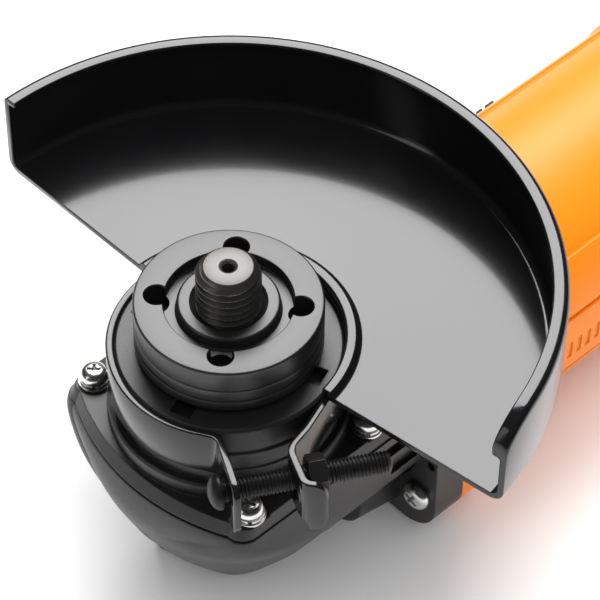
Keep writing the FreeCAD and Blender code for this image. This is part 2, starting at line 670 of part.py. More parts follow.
def make_lock():
    """The spindle lock: a button whose pin enters the ring gear's web."""
    face, head = size("lock_face"), size("lock_head")
    radius, pin = size("lock_button"), size("lock_pin")
    button = turned_shape([(0, face), (radius - 0.8, face), (radius, face + 0.8),
                           (radius, face + head), (0, face + head)])
    length = size("lock_pin_top") - face - head
    button = button.fuse(Part.makeCylinder(pin, length, Vector(0, 0, face + head)))
    feature("lock_button", button, Placement(lock_spot(), Rotation()))
    low, high = face + head, size("lock_pocket_top")
    wire = 0.35
    spring = coil(3.2, wire, low, high, 4)
    feature("lock_spring", spring, Placement(lock_spot(), Rotation()))


def turned_shape(outline):
    """A solid turned about Z from (radius, height) points."""
    points = [Vector(radius, 0, level) for radius, level in outline]
    return Part.Face(Part.makePolygon(points + points[:1])).revolve(Vector(), Z_AXIS, 360)


def coil(radius, wire, low, high, turns):
    """A compression spring along Z whose ends stay inside low and high."""
    length = high - low - 2 * wire - 0.1
    path = Part.makeHelix(length / turns, length, radius)
    section = Part.Wire(Part.makeCircle(wire, Vector(radius, 0, 0), Y_AXIS))
    shape = Part.Wire(path).makePipeShell([section], True, True)
    shape.translate(Vector(0, 0, low + wire + 0.05))
    return shape


# ---------------------------------------------------------------- wheel guard
def make_guard():
    """The pressed steel guard: a plate, a rim wall and a rolled-in lip."""
    body = new_body("guard")
    body.setExpression("Placement.Rotation.Angle", bound("@guard_start * 1deg"))
    low, outer, top = "@guard_plate_low", "@guard_radius", "@guard_top"
    profile = polygon(sketch_on(body, "guard_profile", "XZ_Plane"), [
        ("@band_inner + 0.1", low), (f"{outer} - 3.4", low), (f"{outer} - 1.0", f"{low} + 1.0"),
        (outer, f"{low} + 3.4"), (outer, f"{top} - 1.6"), (f"{outer} - 0.7", f"{top} - 0.4"),
        (f"{outer} - 2.0", top), (f"{outer} - 3.6", f"{top} - 0.5"),
        (f"{outer} - 3.3", f"{top} - 1.5"), (f"{outer} - 2.1", f"{top} - 1.5"),
        (f"{outer} - @sheet", f"{top} - 2.2"), (f"{outer} - @sheet", f"{low} + 4.0"),
        (f"{outer} - 2.3", f"{low} + 2.3"), (f"{outer} - 4.0", f"{low} + @sheet"),
        ("@band_inner + 3.6", f"{low} + @sheet"), ("@band_inner + 2.6", f"{low} + @sheet + 0.5"),
        ("@band_inner + 2.0", f"{low} + @sheet + 1.4"),
        ("@band_inner + 0.1", f"{low} + @sheet + 1.4"),
    ])
    turn(body, profile, angle="@guard_sweep * 1deg")
    corner = polygon(sketch_on(body, "guard_corner_profile", "YZ_Plane"), [
        ("-1", f"{top} - 7.5"), ("0.35", f"{top} - 7.5"), ("1.1", f"{top} - 5.0"),
        ("2.8", f"{top} - 2.6"), ("5.6", f"{top} - 1.0"), ("9.0", f"{top} - 0.2"),
        ("13.0", f"{top} + 1"), ("-1", f"{top} + 1"),
    ])
    cut = pocket(body, corner, f"{outer} + 9")
    cut.Reversed = False
    doc.recompute()
    if cut.Shape.Volume >= body.Group[1].Shape.Volume:
        raise RuntimeError("the guard's corner was not cut")


def rounded_path(points, radii, level):
    """Straight runs through the points, with an arc at each inner corner."""
    spots = [Vector(x, y, level) for x, y in points]
    edges, start = [], spots[0]
    for before, corner, after, radius in zip(spots, spots[1:], spots[2:], radii):
        back, ahead = (before - corner).normalize(), (after - corner).normalize()
        half = back.getAngle(ahead) / 2
        run, lean = radius / math.tan(half), radius / math.sin(half)
        middle = corner + (back + ahead).normalize() * (lean - radius)
        edges.append(Part.LineSegment(start, corner + back * run).toShape())
        start = corner + ahead * run
        edges.append(Part.Arc(corner + back * run, middle, start).toShape())
    edges.append(Part.LineSegment(start, spots[-1]).toShape())
    return edges


def make_band():
    """The clamp band: a split ring whose ends turn out into two ears."""
    inner, wall = size("band_inner"), size("band_wall")
    low, high = size("band_low"), size("guard_plate_low")
    radius = inner + wall / 2
    leave, arrive = math.radians(-66), math.radians(-145.5)
    first = Vector(radius * math.cos(leave), radius * math.sin(leave), low)
    last = Vector(radius * math.cos(arrive), radius * math.sin(arrive), low)
    ring_arc = Part.Arc(first, Vector(radius * math.cos(1.2), radius * math.sin(1.2), low), last)
    right = rounded_path([(first.x, first.y), (-4.0, -28.4), (-10.4, -29.8), (-14.4, -38.6),
                          (-11.3, -42.6)], [8.0, 4.5, 2.2], low)
    left = rounded_path([(last.x, last.y), (-19.2, -17.6), (-26.6, -31.8)], [3.0], low)
    shape = None
    for edge in [ring_arc.toShape()] + right + left:
        strip = ribbon(edge, wall, high - low)
        shape = shape.fuse(strip) if shape else strip
    hole = Part.makeCylinder(size("bolt_radius") + 0.35, 26, bolt_point(-3), BOLT_LINE)
    for edge in (right[-1], left[-1]):
        tab = ribbon(edge, wall, 3.0)
        tab.translate(Vector(0, 0, -2.8))
        shape = shape.fuse(tab)
    feature("guard_band", shape.cut(hole).removeSplitter())


def strip_face(edge, wall, normal):
    """The flat strip of this width that a line or arc runs down the middle of."""
    first, last = edge.FirstParameter, edge.LastParameter
    spots = [edge.valueAt(first), edge.valueAt((first + last) / 2), edge.valueAt(last)]
    ways = [edge.tangentAt(p).cross(normal) for p in (first, (first + last) / 2, last)]
    sides = []
    for sign in (-1, 1):
        sides.append([p + way.normalize() * (sign * wall / 2) for p, way in zip(spots, ways)])
    if edge.Curve.TypeId == "Part::GeomCircle":
        edges = [Part.Arc(*side).toShape() for side in sides]
    else:
        edges = [Part.LineSegment(side[0], side[2]).toShape() for side in sides]
    edges += [Part.LineSegment(sides[0][i], sides[1][i]).toShape() for i in (0, 2)]
    return Part.Face(Part.Wire(Part.__sortEdges__(edges)))


def ribbon(edge, wall, height):
    """A strip of sheet standing on a flat path edge, centred on it."""
    return strip_face(edge, wall, Z_AXIS).extrude(Vector(0, 0, height))


BOLT_LINE = Vector(0.8637, -0.5040, 0)


def bolt_point(along):
    """A point on the clamp bolt's axis, counted from under its head."""
    return Vector(-25.5, -25.3, size("bolt_height")) + BOLT_LINE * along


def make_clamp():
    """The clamp bolt with a domed head, and its nut."""
    bolt = screw(36, size("bolt_radius"), 3.9, 2.9, recess=False)
    feature("clamp_bolt", placed(bolt, bolt_point(0), -BOLT_LINE))
    corners = [Vector(4.6 * math.cos(math.radians(60 * i)), 4.6 * math.sin(math.radians(60 * i)), 0)
               for i in range(7)]
    nut = Part.Face(Part.makePolygon(corners)).extrude(Vector(0, 0, 4))
    nut = nut.cut(Part.makeCylinder(size("bolt_radius") + 0.03, 4))
    feature("clamp_nut", placed(nut, bolt_point(18.2), BOLT_LINE))


# ---------------------------------------------------------------- armature
def make_armature():
    """The rotor: shaft, laminated core, windings, commutator and fan."""
    turned("armature_shaft", [
        ("@shaft_front", "0"), ("@shaft_front", "2.5"), ("@shaft_front + 0.5", "@pinion_bore - 0.02"),
        ("@pinion_rear", "@pinion_bore - 0.02"), ("@pinion_rear", "@shaft_radius"),
        ("@rear_bearing - 1", "@shaft_radius"), ("@rear_bearing - 1", "@rear_journal"),
        ("@shaft_end - 0.5", "@rear_journal"), ("@shaft_end", "@rear_journal - 0.5"),
        ("@shaft_end", "0"),
    ], along_x=True)
    start, end, outer = size("core_front"), size("core_rear"), size("core_radius")
    shaft = size("shaft_radius") + 0.01
    drop, slots = size("motor_height"), 12
    core, windings = tube(shaft, outer, start, end), None
    for i in range(slots):
        slot = Part.makeCylinder(1.9, end - start, Vector(start, 0, drop + 12.4), X_AXIS)
        mouth = block((start, -0.7, drop + 13), (end, 0.7, drop + outer + 1))
        core = core.cut(spun(slot.fuse(mouth), i * 360 / slots))
        wire = Part.makeCylinder(1.7, end - start + 4, Vector(start - 2, 0, drop + 12.4), X_AXIS)
        wire = spun(wire, i * 360 / slots)
        windings = windings.fuse(wire) if windings else wire
    feature("armature_core", core)
    for face, away in ((start - 0.6, -1), (end + 0.6, 1)):
        outline = [(face, shaft), (face, 14.4), (face + away * 3.5, 14.2), (face + away * 6, 12),
                   (face + away * 6.6, 8.6), (face + away * 5.4, shaft)]
        points = [Vector(x, 0, drop + off) for x, off in outline]
        turns = Part.Face(Part.makePolygon(points + points[:1])).revolve(
            Vector(0, 0, drop), X_AXIS, 360)
        windings = windings.fuse(turns)
    feature("armature_windings", windings.removeSplitter())

    front, rear, radius = size("commutator_front"), size("commutator_rear"), size("commutator_radius")
    bars = tube(shaft, radius, front, rear).fuse(tube(shaft, radius + 1.2, front, front + 2))
    for i in range(24):
        gap = block((front - 1, -0.2, drop + radius - 0.8), (rear + 1, 0.2, drop + radius + 3))
        bars = bars.cut(spun(gap, i * 15))
    feature("commutator", bars)


def make_fan():
    """The cooling fan: a hub, a back plate and eleven curved blades."""
    front, rear, radius = size("fan_front"), size("fan_rear"), size("fan_radius")
    shaft, drop = size("shaft_radius") + 0.01, size("motor_height")
    shape = tube(shaft, 9.5, front, rear).fuse(tube(shaft, radius, front, front + 1.6))
    base, blades = Vector(front + 1.4, 0, drop), 11
    start, middle, tip = spun_point(11, 0), spun_point(18, 12), spun_point(radius - 0.4, 32)
    edge = Part.Arc(base + start, base + middle, base + tip).toShape()
    blade = strip_face(edge, 1.1, X_AXIS).extrude(Vector(rear - front - 1.4, 0, 0))
    for i in range(blades):
        shape = shape.fuse(spun(blade, i * 360 / blades))
    rim = tube(0, radius, front, rear)
    feature("cooling_fan", shape.common(rim).removeSplitter())


def sector(inner, outer, start, end, first, last):
    """Part of a ring round the motor axis, angles counted from +Y to +Z."""
    drop = size("motor_height")
    rims = []
    for radius in (inner, outer):
        spots = [Vector(start, radius * math.cos(math.radians(a)), drop + radius * math.sin(math.radians(a)))
                 for a in (first, (first + last) / 2, last)]
        rims.append((Part.Arc(*spots).toShape(), spots[0], spots[-1]))
    caps = [Part.LineSegment(rims[0][i], rims[1][i]).toShape() for i in (1, 2)]
    wire = Part.Wire(Part.__sortEdges__([rims[0][0], rims[1][0]] + caps))
    return Part.Face(wire).extrude(Vector(end - start, 0, 0))


def make_stator():
    """The field: a laminated core with two wound poles."""
    start, end, outer = size("core_front"), size("core_rear"), size("stator_radius")
    bore, flat, drop = size("stator_bore"), size("stator_flat"), size("motor_height")
    core = tube(0, outer, start, end).common(block((start, -flat, 0), (end, flat, 2 * drop)))
    core = core.cut(tube(0, bore, start, end))
    for first in (-35, 145):
        core = core.cut(sector(bore - 1, 22.2, start, end, first, first + 70))
    for sign in (1, -1):
        hole = Part.makeCylinder(2.1, end - start, Vector(start, 0, drop + sign * 24.4), X_AXIS)
        core = core.cut(hole)
    feature("stator_core", core)
    coils = []
    for first in (0, 180):
        legs = [sector(17.2, 21.6, start, end, first + a, first + a + 20) for a in (10, 150)]
        ends = [sector(17.2, 21.2, x, x + 6, first + 10, first + 170) for x in (start - 6, end)]
        coils.append(legs[0].fuse([legs[1]] + ends).removeSplitter())
    feature("field_coils", group(coils))
    rod = screw(end - start + 5, 2.0, 3.0, 2.4)
    spots = [Vector(end, 0, drop + sign * 24.4) for sign in (1, -1)]
    feature("stator_screws", group([placed(rod, spot, X_AXIS) for spot in spots]))


def make_brush_gear():
    """Carbon brushes in brass holders, on a plate behind the commutator."""
    drop = size("motor_height")
    front, rear, half = size("brush_front"), size("brush_rear"), size("brush_half")
    low, high = size("holder_low"), size("holder_top")
    upper = {}
    brush = block((front, -half, drop + 9), (rear, half, drop + size("brush_top")))
    upper["brush"] = brush.cut(tube(0, size("commutator_radius") + 0.08, front - 1, rear + 1))
    case = block((front - 1, -half - 1, drop + low), (rear + 1, half + 1, drop + high + 1))
    case = case.cut(block((front - 0.1, -half - 0.1, drop + low - 1),
                          (rear + 0.1, half + 0.1, drop + high)))
    feature("brush_holders", group([case, spun(case, 180)]))
    spring = coil(1.9, 0.35, drop + size("brush_top"), drop + high, 3)
    spring.translate(Vector((front + rear) / 2, 0, 0))
    upper["brush_spring"] = spring
    for kind, shape in upper.items():
        feature("upper_" + kind, shape)
        feature("lower_" + kind, spun(shape, 180))
    plate = tube(12.7, 27.3, rear + 1, size("rear_bearing") - 1)
    notch = block((rear, 23.9, drop - 4.4), (rear + 9, 30, drop + 4.4))
    feature("brush_plate", plate.cut(notch))
    ring("fan_baffle", "17", "27.4", "@baffle_front", "@baffle_front + 1.6", True)


# ---------------------------------------------------------------- housing
def make_motor_housing():
    """The moulded barrel: flange, side panels, ledges, hub and switch slot."""
    start, end, drop = size("flange_rear"), size("housing_rear"), size("motor_height")
    outer, inner = size("barrel_radius"), size("barrel_bore")
    grip, grip_start, half = size("grip_radius"), size("grip_start"), size("flange_half")
    body = turned_along([(start, 0), (start, outer), (grip_start, outer),
                         (grip_start + 3.5, grip), (end, grip), (end, 0)])
    flange = rounded_section(start, drop - half, drop + half, size("flange_side"),
                             size("flange_corner"))
    body = body.fuse(Part.Face(flange).extrude(Vector(9, 0, 0)))
    for first in (-42, 138):
        body = body.fuse(sector(outer - 1, outer + 0.8, start + 9, grip_start + 1, first, first + 84))
        for middle in (17, -17):
            groove = sector(outer - 0.1, outer + 2, start + 12, grip_start - 4,
                            first + 42 + middle - 1, first + 42 + middle + 1)
            body = body.cut(groove)
    bore = turned_along([(start - 1, 0), (start - 1, inner), (52, inner), (52, 22.3), (58, 22.3),
                         (58, inner), (end + 1, inner), (end + 1, 0)])
    shape = body.cut(bore)
    shape = shape.fuse(bearing_hub(inner))
    across, rise = size("case_screw_side"), size("case_screw_rise")
    for y in (-across, across):
        for z in (drop - rise, drop + rise):
            shape = shape.cut(Part.makeCylinder(2.02, 14.5, Vector(start - 1, y, z), X_AXIS))
    for sign in (1, -1):
        hole = Part.makeCylinder(2.02, 8, Vector(51, 0, drop + sign * 24.4), X_AXIS)
        shape = shape.cut(hole)
    slot = block((size("switch_slot"), 20, drop - 3), (size("switch_slot_end"), 40, drop + 3))
    shape = shape.cut(slot)
    for i in range(6):
        for sign in (1, -1):
            vent = block((150 + i * 3.4, 20 * sign, drop - 9), (151.6 + i * 3.4, 40 * sign, drop + 9)) \
                if sign > 0 else block((150 + i * 3.4, -40, drop - 9), (151.6 + i * 3.4, -20, drop + 9))
            shape = shape.cut(vent)
    for i in range(5):
        rib = sector(outer + 0.3, outer + 3, 74 + i * 3, 75.4 + i * 3, 176, 186)
        shape = shape.cut(rib)
    feature("motor_housing", shape.removeSplitter())


def turned_along(outline):
    """A solid turned about the motor axis from (x, radius) points."""
    drop = size("motor_height")
    points = [Vector(x, 0, drop + off) for x, off in outline]
    return Part.Face(Part.makePolygon(points + points[:1])).revolve(
        Vector(0, 0, drop), X_AXIS, 360)


def bearing_hub(inner):
    """The seat of the rear bearing, held by four webs."""
    start, end, drop = size("rear_bearing") - 1, size("rear_bearing_end"), size("motor_height")
    radius = size("rear_bearing_radius") + 1.51
    hub = tube(radius, radius + 3, start, end).fuse(tube(5.5, radius + 3, end, end + 1.6))
    for degrees in (45, 135, 225, 315):
        web = block((start, -1.6, drop + radius + 2), (end, 1.6, drop + inner + 1))
        hub = hub.fuse(spun(web, degrees))
    return hub


def make_handle():
    """The rear handle: two shells, their screws, and the cord inlet."""
    start, end, drop = size("housing_rear"), size("handle_rear"), size("motor_height")
    wall = size("handle_wall")
    stations = [(start, 1.6, 62.4, 30.0, 24), (start + 12, 2.2, 58.6, 27.4, 21),
                (start + 32, 1.6, 54.6, 25.0, 18), (start + 54, 0.4, 52.6, 24.4, 16),
                (end, 0.6, 50.6, 22.6, 15)]
    outer = Part.makeLoft([rounded_section(*s) for s in stations], True, False)
    rear_edges = [edge for edge in outer.Edges if edge.BoundBox.XMin > end - 0.1]
    outer = outer.makeFillet(7.0, rear_edges)
    inner_stations = [(x, low + wall, high - wall, half - wall, radius - wall)
                      for x, low, high, half, radius in stations]
    inner_stations[0] = (start - 1,) + inner_stations[0][1:]
    inner_stations[-1] = (end - 5,) + inner_stations[-1][1:]
    shape = outer.cut(Part.makeLoft([rounded_section(*s) for s in inner_stations], True, False))
    spots = [(start + 9, 50.0), (start + 9, 10.5), (end - 16, 44.0), (end - 16, 8.0)]
    middle = 27.0
    for x, z in spots:
        shape = shape.fuse(Part.makeCylinder(3.8, 60, Vector(x, -30, z), Y_AXIS).common(outer))
        shape = shape.cut(Part.makeCylinder(1.7, 70, Vector(x, -35, z), Y_AXIS))
        shape = shape.cut(Part.makeCylinder(3.6, 20, Vector(x, -35, z), Y_AXIS))
    neck = Part.makeCylinder(11.0, 12, Vector(end - 12, 0, middle), X_AXIS).common(outer)
    shape = shape.fuse(neck)
    shape = shape.cut(Part.makeCylinder(8.0, 30, Vector(end - 13, 0, middle), X_AXIS))
    for i in range(5):
        vent = block((start + 18 + i * 5, -60, 20), (start + 20.4 + i * 5, 60, 40))
        shape = shape.cut(vent)
    for name, low, high in (("left_handle_shell", 0, 60), ("right_handle_shell", -60, 0)):
        half = shape.common(block((start, low, -10), (end + 10, high, 80)))
        feature(name, half.removeSplitter())
    bolt = screw(24, 1.6, 3.2, 2.2)
    seats = [placed(bolt, Vector(x, -15.0, z), -Y_AXIS) for x, z in spots]
    feature("handle_screws", group(seats))
    inlet = tube(size("cord_bore"), 8.0, end - 13, end + 1, X_AXIS, Vector(0, 0, middle))
    feature("cord_inlet", inlet)


def make_switch():
    """The slide switch: an outside knob, a push rod and the switch unit."""
    drop, outer = size("motor_height"), size("barrel_radius") + 0.8
    pad = sector(outer + 0.35, outer + 1.9, 92, 123, -13, 13)
    grip = sector(outer + 1, outer + 3.6, 97, 118, -9, 9)
    for i in range(6):
        grip = grip.cut(sector(outer + 2.6, outer + 5, 99 + i * 3, 100.4 + i * 3, -12, 12))
    stem = block((103.5, 25.5, drop - 2.6), (112, outer + 1, drop + 2.6))
    feature("switch_knob", pad.fuse([grip, stem]).removeSplitter())
    rod = block((102, 24.5, drop - 2.5), (178, 25.5, drop + 2.5))
    feature("switch_rod", rod.fuse(block((175, 9, drop - 2.5), (178, 24.6, drop + 2.5))))
    unit = block((182, -9, 20), (208, 13, 42)).fuse(block((178.4, 9, 29), (182, 12, 35)))
    feature("switch_unit", unit)
    can = Part.makeCylinder(5.5, 22, Vector(186, -1, 12), X_AXIS)
    feature("capacitor", can)
    spots = [Vector(222, y, 22.6) for y in (-6.5, 6.5)]
    clamp = block((219, -9.5, 20), (225, 9.5, 22.6)).cut(block((218, -2, 19), (226, 2, 21)))
    for spot in spots:
        clamp = clamp.cut(Part.makeCylinder(1.6, 8, spot - Z_AXIS * 4))
    feature("cord_clamp", clamp)
    bolt = screw(6, 1.5, 2.8, 2.0)
    feature("cord_clamp_screws", group([placed(bolt, spot) for spot in spots]))


# ---------------------------------------------------------------- build
make_spindle()
make_flange_and_nut()
make_bearings()
make_gears()
make_gear_case()
make_bearing_cover()
make_gasket()
make_case_fasteners()
make_lock()
make_guard()
make_band()
make_clamp()
make_armature()
make_fan()
make_stator()
make_brush_gear()
make_motor_housing()
make_handle()
make_switch()
doc.recompute()

for item in doc.Objects:
    if {"Invalid", "Error"} & set(item.State):
        raise RuntimeError(f"{item.Label} did not recompute: {item.State}")
for label, piece in pieces.items():
    if piece.Shape.isNull() or not piece.Shape.isValid():
        raise RuntimeError(f"{label} has no valid shape")

os.makedirs("parts", exist_ok=True)
for label, piece in pieces.items():
    piece.Shape.exportStep(os.path.join("parts", label + ".step"))
print(len(pieces), "sub-parts written")
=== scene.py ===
"""Angle grinder lying with its spindle up, dressed around its mechanical model.

Lengths in the dataclasses are millimetres; meshes are written in metres.
"""
import logging
import math
from collections.abc import Callable
from dataclasses import dataclass
from enum import Enum

import bmesh
import bpy
from mathutils import Matrix, Vector


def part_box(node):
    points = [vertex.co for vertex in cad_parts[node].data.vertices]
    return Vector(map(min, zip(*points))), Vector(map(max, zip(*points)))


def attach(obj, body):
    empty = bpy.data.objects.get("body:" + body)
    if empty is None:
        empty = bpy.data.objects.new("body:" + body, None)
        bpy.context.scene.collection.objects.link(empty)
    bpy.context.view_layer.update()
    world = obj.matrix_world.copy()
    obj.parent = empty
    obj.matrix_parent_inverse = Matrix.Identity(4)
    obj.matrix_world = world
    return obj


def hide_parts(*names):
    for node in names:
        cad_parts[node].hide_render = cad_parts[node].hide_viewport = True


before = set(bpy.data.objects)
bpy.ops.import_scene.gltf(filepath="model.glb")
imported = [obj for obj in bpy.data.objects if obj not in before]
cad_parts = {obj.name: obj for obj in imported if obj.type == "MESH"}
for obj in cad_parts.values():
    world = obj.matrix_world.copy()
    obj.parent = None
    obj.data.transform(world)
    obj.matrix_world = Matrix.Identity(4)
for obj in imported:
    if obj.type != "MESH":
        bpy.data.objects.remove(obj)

LOG = logging.getLogger("grinder")
MM = 0.001
MOTOR_AXIS_HEIGHT = 32.0
BEVEL_SAMPLES = 6
SHARP_TURN = 35.0    # degrees; edges that turn more stay sharp
KEEN_TURN = 50.0    # the same for pieces with fine bends
RUN_SHARE = 0.49    # how much of a run an arc at its end may take
THREAD_SLOPE, THREAD_FLAT = 2.6, 0.15
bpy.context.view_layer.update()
Colour = tuple[float, float, float]
Point2 = tuple[float, float]
Point3 = tuple[float, float, float]


class Axis(Enum):
    """The line that a texture or a turned mesh runs round."""

    SPINDLE = "spindle"
    MOTOR = "motor"


# ------------------------------------------------------------------ shaders
def operator(kind: str, swapped: bool = False) -> Callable[["Signal", "Signal | float"], "Signal"]:
    """Make an operator that adds a Math node.

    Args:
        kind: The Math node's operation.
        swapped: Whether the other term comes first.

    Returns:
        The method.
    """
    def method(self: "Signal", other: "Signal | float") -> "Signal":
        """Return what the two terms make."""
        return self.math(kind, *((other, self) if swapped else (self, other)))
    return method


class Signal:
    """A shader value whose arithmetic adds Math nodes."""

    def __init__(self, shader: "Shader", socket: bpy.types.NodeSocket) -> None:
        """Wrap one output socket of a shader's node."""
        self.shader = shader
        self.socket = socket

    def math(self, operation: str, *terms: "Signal | float") -> "Signal":
        """Add a Math node.

        Args:
            operation: The Math node's operation.
            terms: Its inputs in order.

        Returns:
            The node's output.
        """
        return self.shader.add("Math", {"operation": operation}, dict(enumerate(terms)))

    __add__, __radd__ = operator("ADD"), operator("ADD", True)
    __sub__, __rsub__ = operator("SUBTRACT"), operator("SUBTRACT", True)
    __mul__, __rmul__ = operator("MULTIPLY"), operator("MULTIPLY", True)
    __truediv__, __rtruediv__ = operator("DIVIDE"), operator("DIVIDE", True)

    def ramp(self, low: float, high: float, start: float = 0.0, end: float = 1.0) -> "Signal":
        """Map a range of this value smoothly onto another.

        Args:
            low: The value that gives start.
            high: The value that gives end.
            start: The result at low.
            end: The result at high.

        Returns:
            The mapped value, held between start and end.
        """
        settings = {"interpolation_type": "SMOOTHSTEP", "clamp": True}
        values = {0: self, 1: low, 2: high, 3: start, 4: end}
        return self.shader.add("MapRange", settings, values)


class Shader:
    """One material's node tree with a single way to add a node."""

    def __init__(self, name: str) -> None:
        """Start an empty material.

        Args:
            name: The material's name.
        """
        self.material = bpy.data.materials.new(name)
        self.material.use_nodes = True
        self.tree = self.material.node_tree
        self.tree.nodes.clear()
        self.place = self.add("TexCoord", output="Object")

    def add(self, kind: str, settings: dict | None = None, values: dict | None = None,
            output: str | int = 0) -> Signal:
        """Add a node.

        Args:
            kind: The node's type without its ShaderNode prefix.
            settings: Properties that are set first.
            values: Socket names or places with the value or signal for each.
            output: The socket that is returned.

        Returns:
            The chosen output, or the node's first one.
        """
        node = self.tree.nodes.new("ShaderNode" + kind)
        for key, value in (settings or {}).items():
            setattr(node, key, value)
        for key, value in (values or {}).items():
            if isinstance(value, Signal):
                self.tree.links.new(value.socket, node.inputs[key])
            else:
                node.inputs[key].default_value = value
        return Signal(self, node.outputs[output]) if len(node.outputs) else None

    def vector(self, operation: str, *terms: "Signal | Colour") -> Signal:
        """Add a Vector Math node.

        Args:
            operation: The node's operation.
            terms: Its vector inputs in order.

        Returns:
            The vector result.
        """
        return self.add("VectorMath", {"operation": operation}, dict(enumerate(terms)))

    def stretched(self, x: float, y: float, z: float) -> Signal:
        """Return the object's coordinates in millimetres times a scale per axis."""
        return self.vector("MULTIPLY", self.place, (x / MM, y / MM, z / MM))

    def turned(self, axis: Axis) -> Signal:
        """Coordinates that don't change round an axis.

        Args:
            axis: The line that they run round.

        Returns:
            A vector of the distance from the axis and the way along it, in mm.
        """
        apart = self.add("SeparateXYZ", values={0: self.place})
        node = apart.socket.node
        x, y, z = (Signal(self, node.outputs[i]) for i in range(3))
        if axis is Axis.SPINDLE:
            across, along, other = x, z, y
        else:
            across, along, other = y, x, z - MOTOR_AXIS_HEIGHT * MM
        squared = across * across + other * other
        distance = squared.math("SQRT", squared)
        return self.add("CombineXYZ", values={0: distance / MM, 1: along / MM})

    def noise(self, scale: float, detail: float = 2.0, where: Signal | None = None,
              rough: float = 0.5) -> Signal:
        """A noise pattern.

        Args:
            scale: Its number of waves in a millimetre.
            detail: Its octaves.
            where: Its coordinates in millimetres, or the object's own.
            rough: The share that each octave keeps.

        Returns:
            The pattern, from 0 to 1.
        """
        where = where or self.stretched(1, 1, 1)
        values = {"Vector": where, "Scale": scale, "Detail": detail, "Roughness": rough}
        return self.add("TexNoise", values=values, output=0)

    def cells(self, scale: float) -> Signal:
        """The distance from a cell's point, with this many cells in a millimetre."""
        where = self.stretched(1, 1, 1)
        return self.add("TexVoronoi", {"feature": "F1"}, {"Vector": where, "Scale": scale})

    def edges(self, radius: float) -> Signal:
        """How far the surface turns within a radius.

        Args:
            radius: The reach in millimetres.

        Returns:
            0 on flat ground and near 1 on a sharp edge.
        """
        soft = self.soft_edge(radius)
        flat = self.add("NewGeometry", output="Normal")
        node = self.vector("DOT_PRODUCT", soft, flat).socket.node
        return (1.0 - Signal(self, node.outputs["Value"])).ramp(0.01, 0.16)

    def tint(self, amount: "Signal | float", first: "Signal | Colour",
             second: "Signal | Colour") -> Signal:
        """Mix two colours.

        Args:
            amount: 0 for the first, 1 for the second.
            first: The colour at 0.
            second: The colour at 1.

        Returns:
            The mixed colour.
        """
        def full(colour: "Signal | Colour") -> "Signal | tuple":
            """Give a plain colour its fourth number."""
            return colour if isinstance(colour, Signal) else (*colour, 1.0)
        return self.add("Mix", {"data_type": "RGBA"}, {0: amount, 6: full(first), 7: full(second)},
                        output=2)

    def bump(self, height: Signal, depth: float, under: Signal | None = None) -> Signal:
        """A Bump node.

        Args:
            height: The height pattern.
            depth: The height of 1 in millimetres.
            under: A normal that the bump lies on.

        Returns:
            The bumped normal.
        """
        values = {"Strength": 1.0, "Distance": depth * MM, "Height": height}
        if under is not None:
            values["Normal"] = under
        return self.add("Bump", values=values)

    def soft_edge(self, radius: float) -> Signal:
        """The normal of the surface with its edges rounded to a radius in millimetres."""
        return self.add("Bevel", {"samples": BEVEL_SAMPLES}, {"Radius": radius * MM})

    def finish(self, **sockets: "Signal | float | Colour") -> bpy.types.Material:
        """Add the surface shader and the output.

        Args:
            sockets: The surface shader's sockets, with _ in place of a space.

        Returns:
            The finished material.
        """
        values = {}
        for key, value in sockets.items():
            name = key.replace("_", " ").title().replace("Ior", "IOR")
            if isinstance(value, tuple):
                value = (*value, 1.0)
            values[name] = value
        surface = self.add("BsdfPrincipled", values=values)
        self.add("OutputMaterial", values={"Surface": surface})
        return self.material


@dataclass(frozen=True)
class Finish:
    """What every finish has: a name and a way to make its material."""

    name: str

    def material(self) -> bpy.types.Material:
        """Return this finish's material, made once."""
        known = bpy.data.materials.get(self.name)
        return known or self.make(Shader(self.name))

    def make(self, shader: Shader) -> bpy.types.Material:
        """Build the node tree; each kind of finish has its own."""
        raise NotImplementedError


@dataclass(frozen=True)
class Enamel(Finish):
    """Gloss black stoving enamel with a faint orange peel and dust specks."""

    base: Colour = (0.0045, 0.0045, 0.005)
    roughness: float = 0.11
    peel: float = 0.006
    edge: float = 0.35

    def make(self, shader: Shader) -> bpy.types.Material:
        """Build the enamel.

        Args:
            shader: The empty tree.

        Returns:
            The material.
        """
        peel = shader.noise(0.55, 2.0)
        fine = shader.noise(6.0, 3.0)
        specks = shader.cells(0.22).ramp(0.05, 0.02)
        cloud = shader.noise(0.06, 3.0)
        normal = shader.bump(peel + fine * 0.05 + specks * 0.4, self.peel,
                             under=shader.soft_edge(self.edge))
        colour = shader.tint(cloud * 0.6 + specks * 0.4, self.base, (0.011, 0.011, 0.012))
        return shader.finish(base_color=colour, normal=normal,
                             roughness=self.roughness + cloud * 0.05 + fine * 0.03,
                             specular_ior_level=0.4, coat_weight=0.15, coat_roughness=0.04)


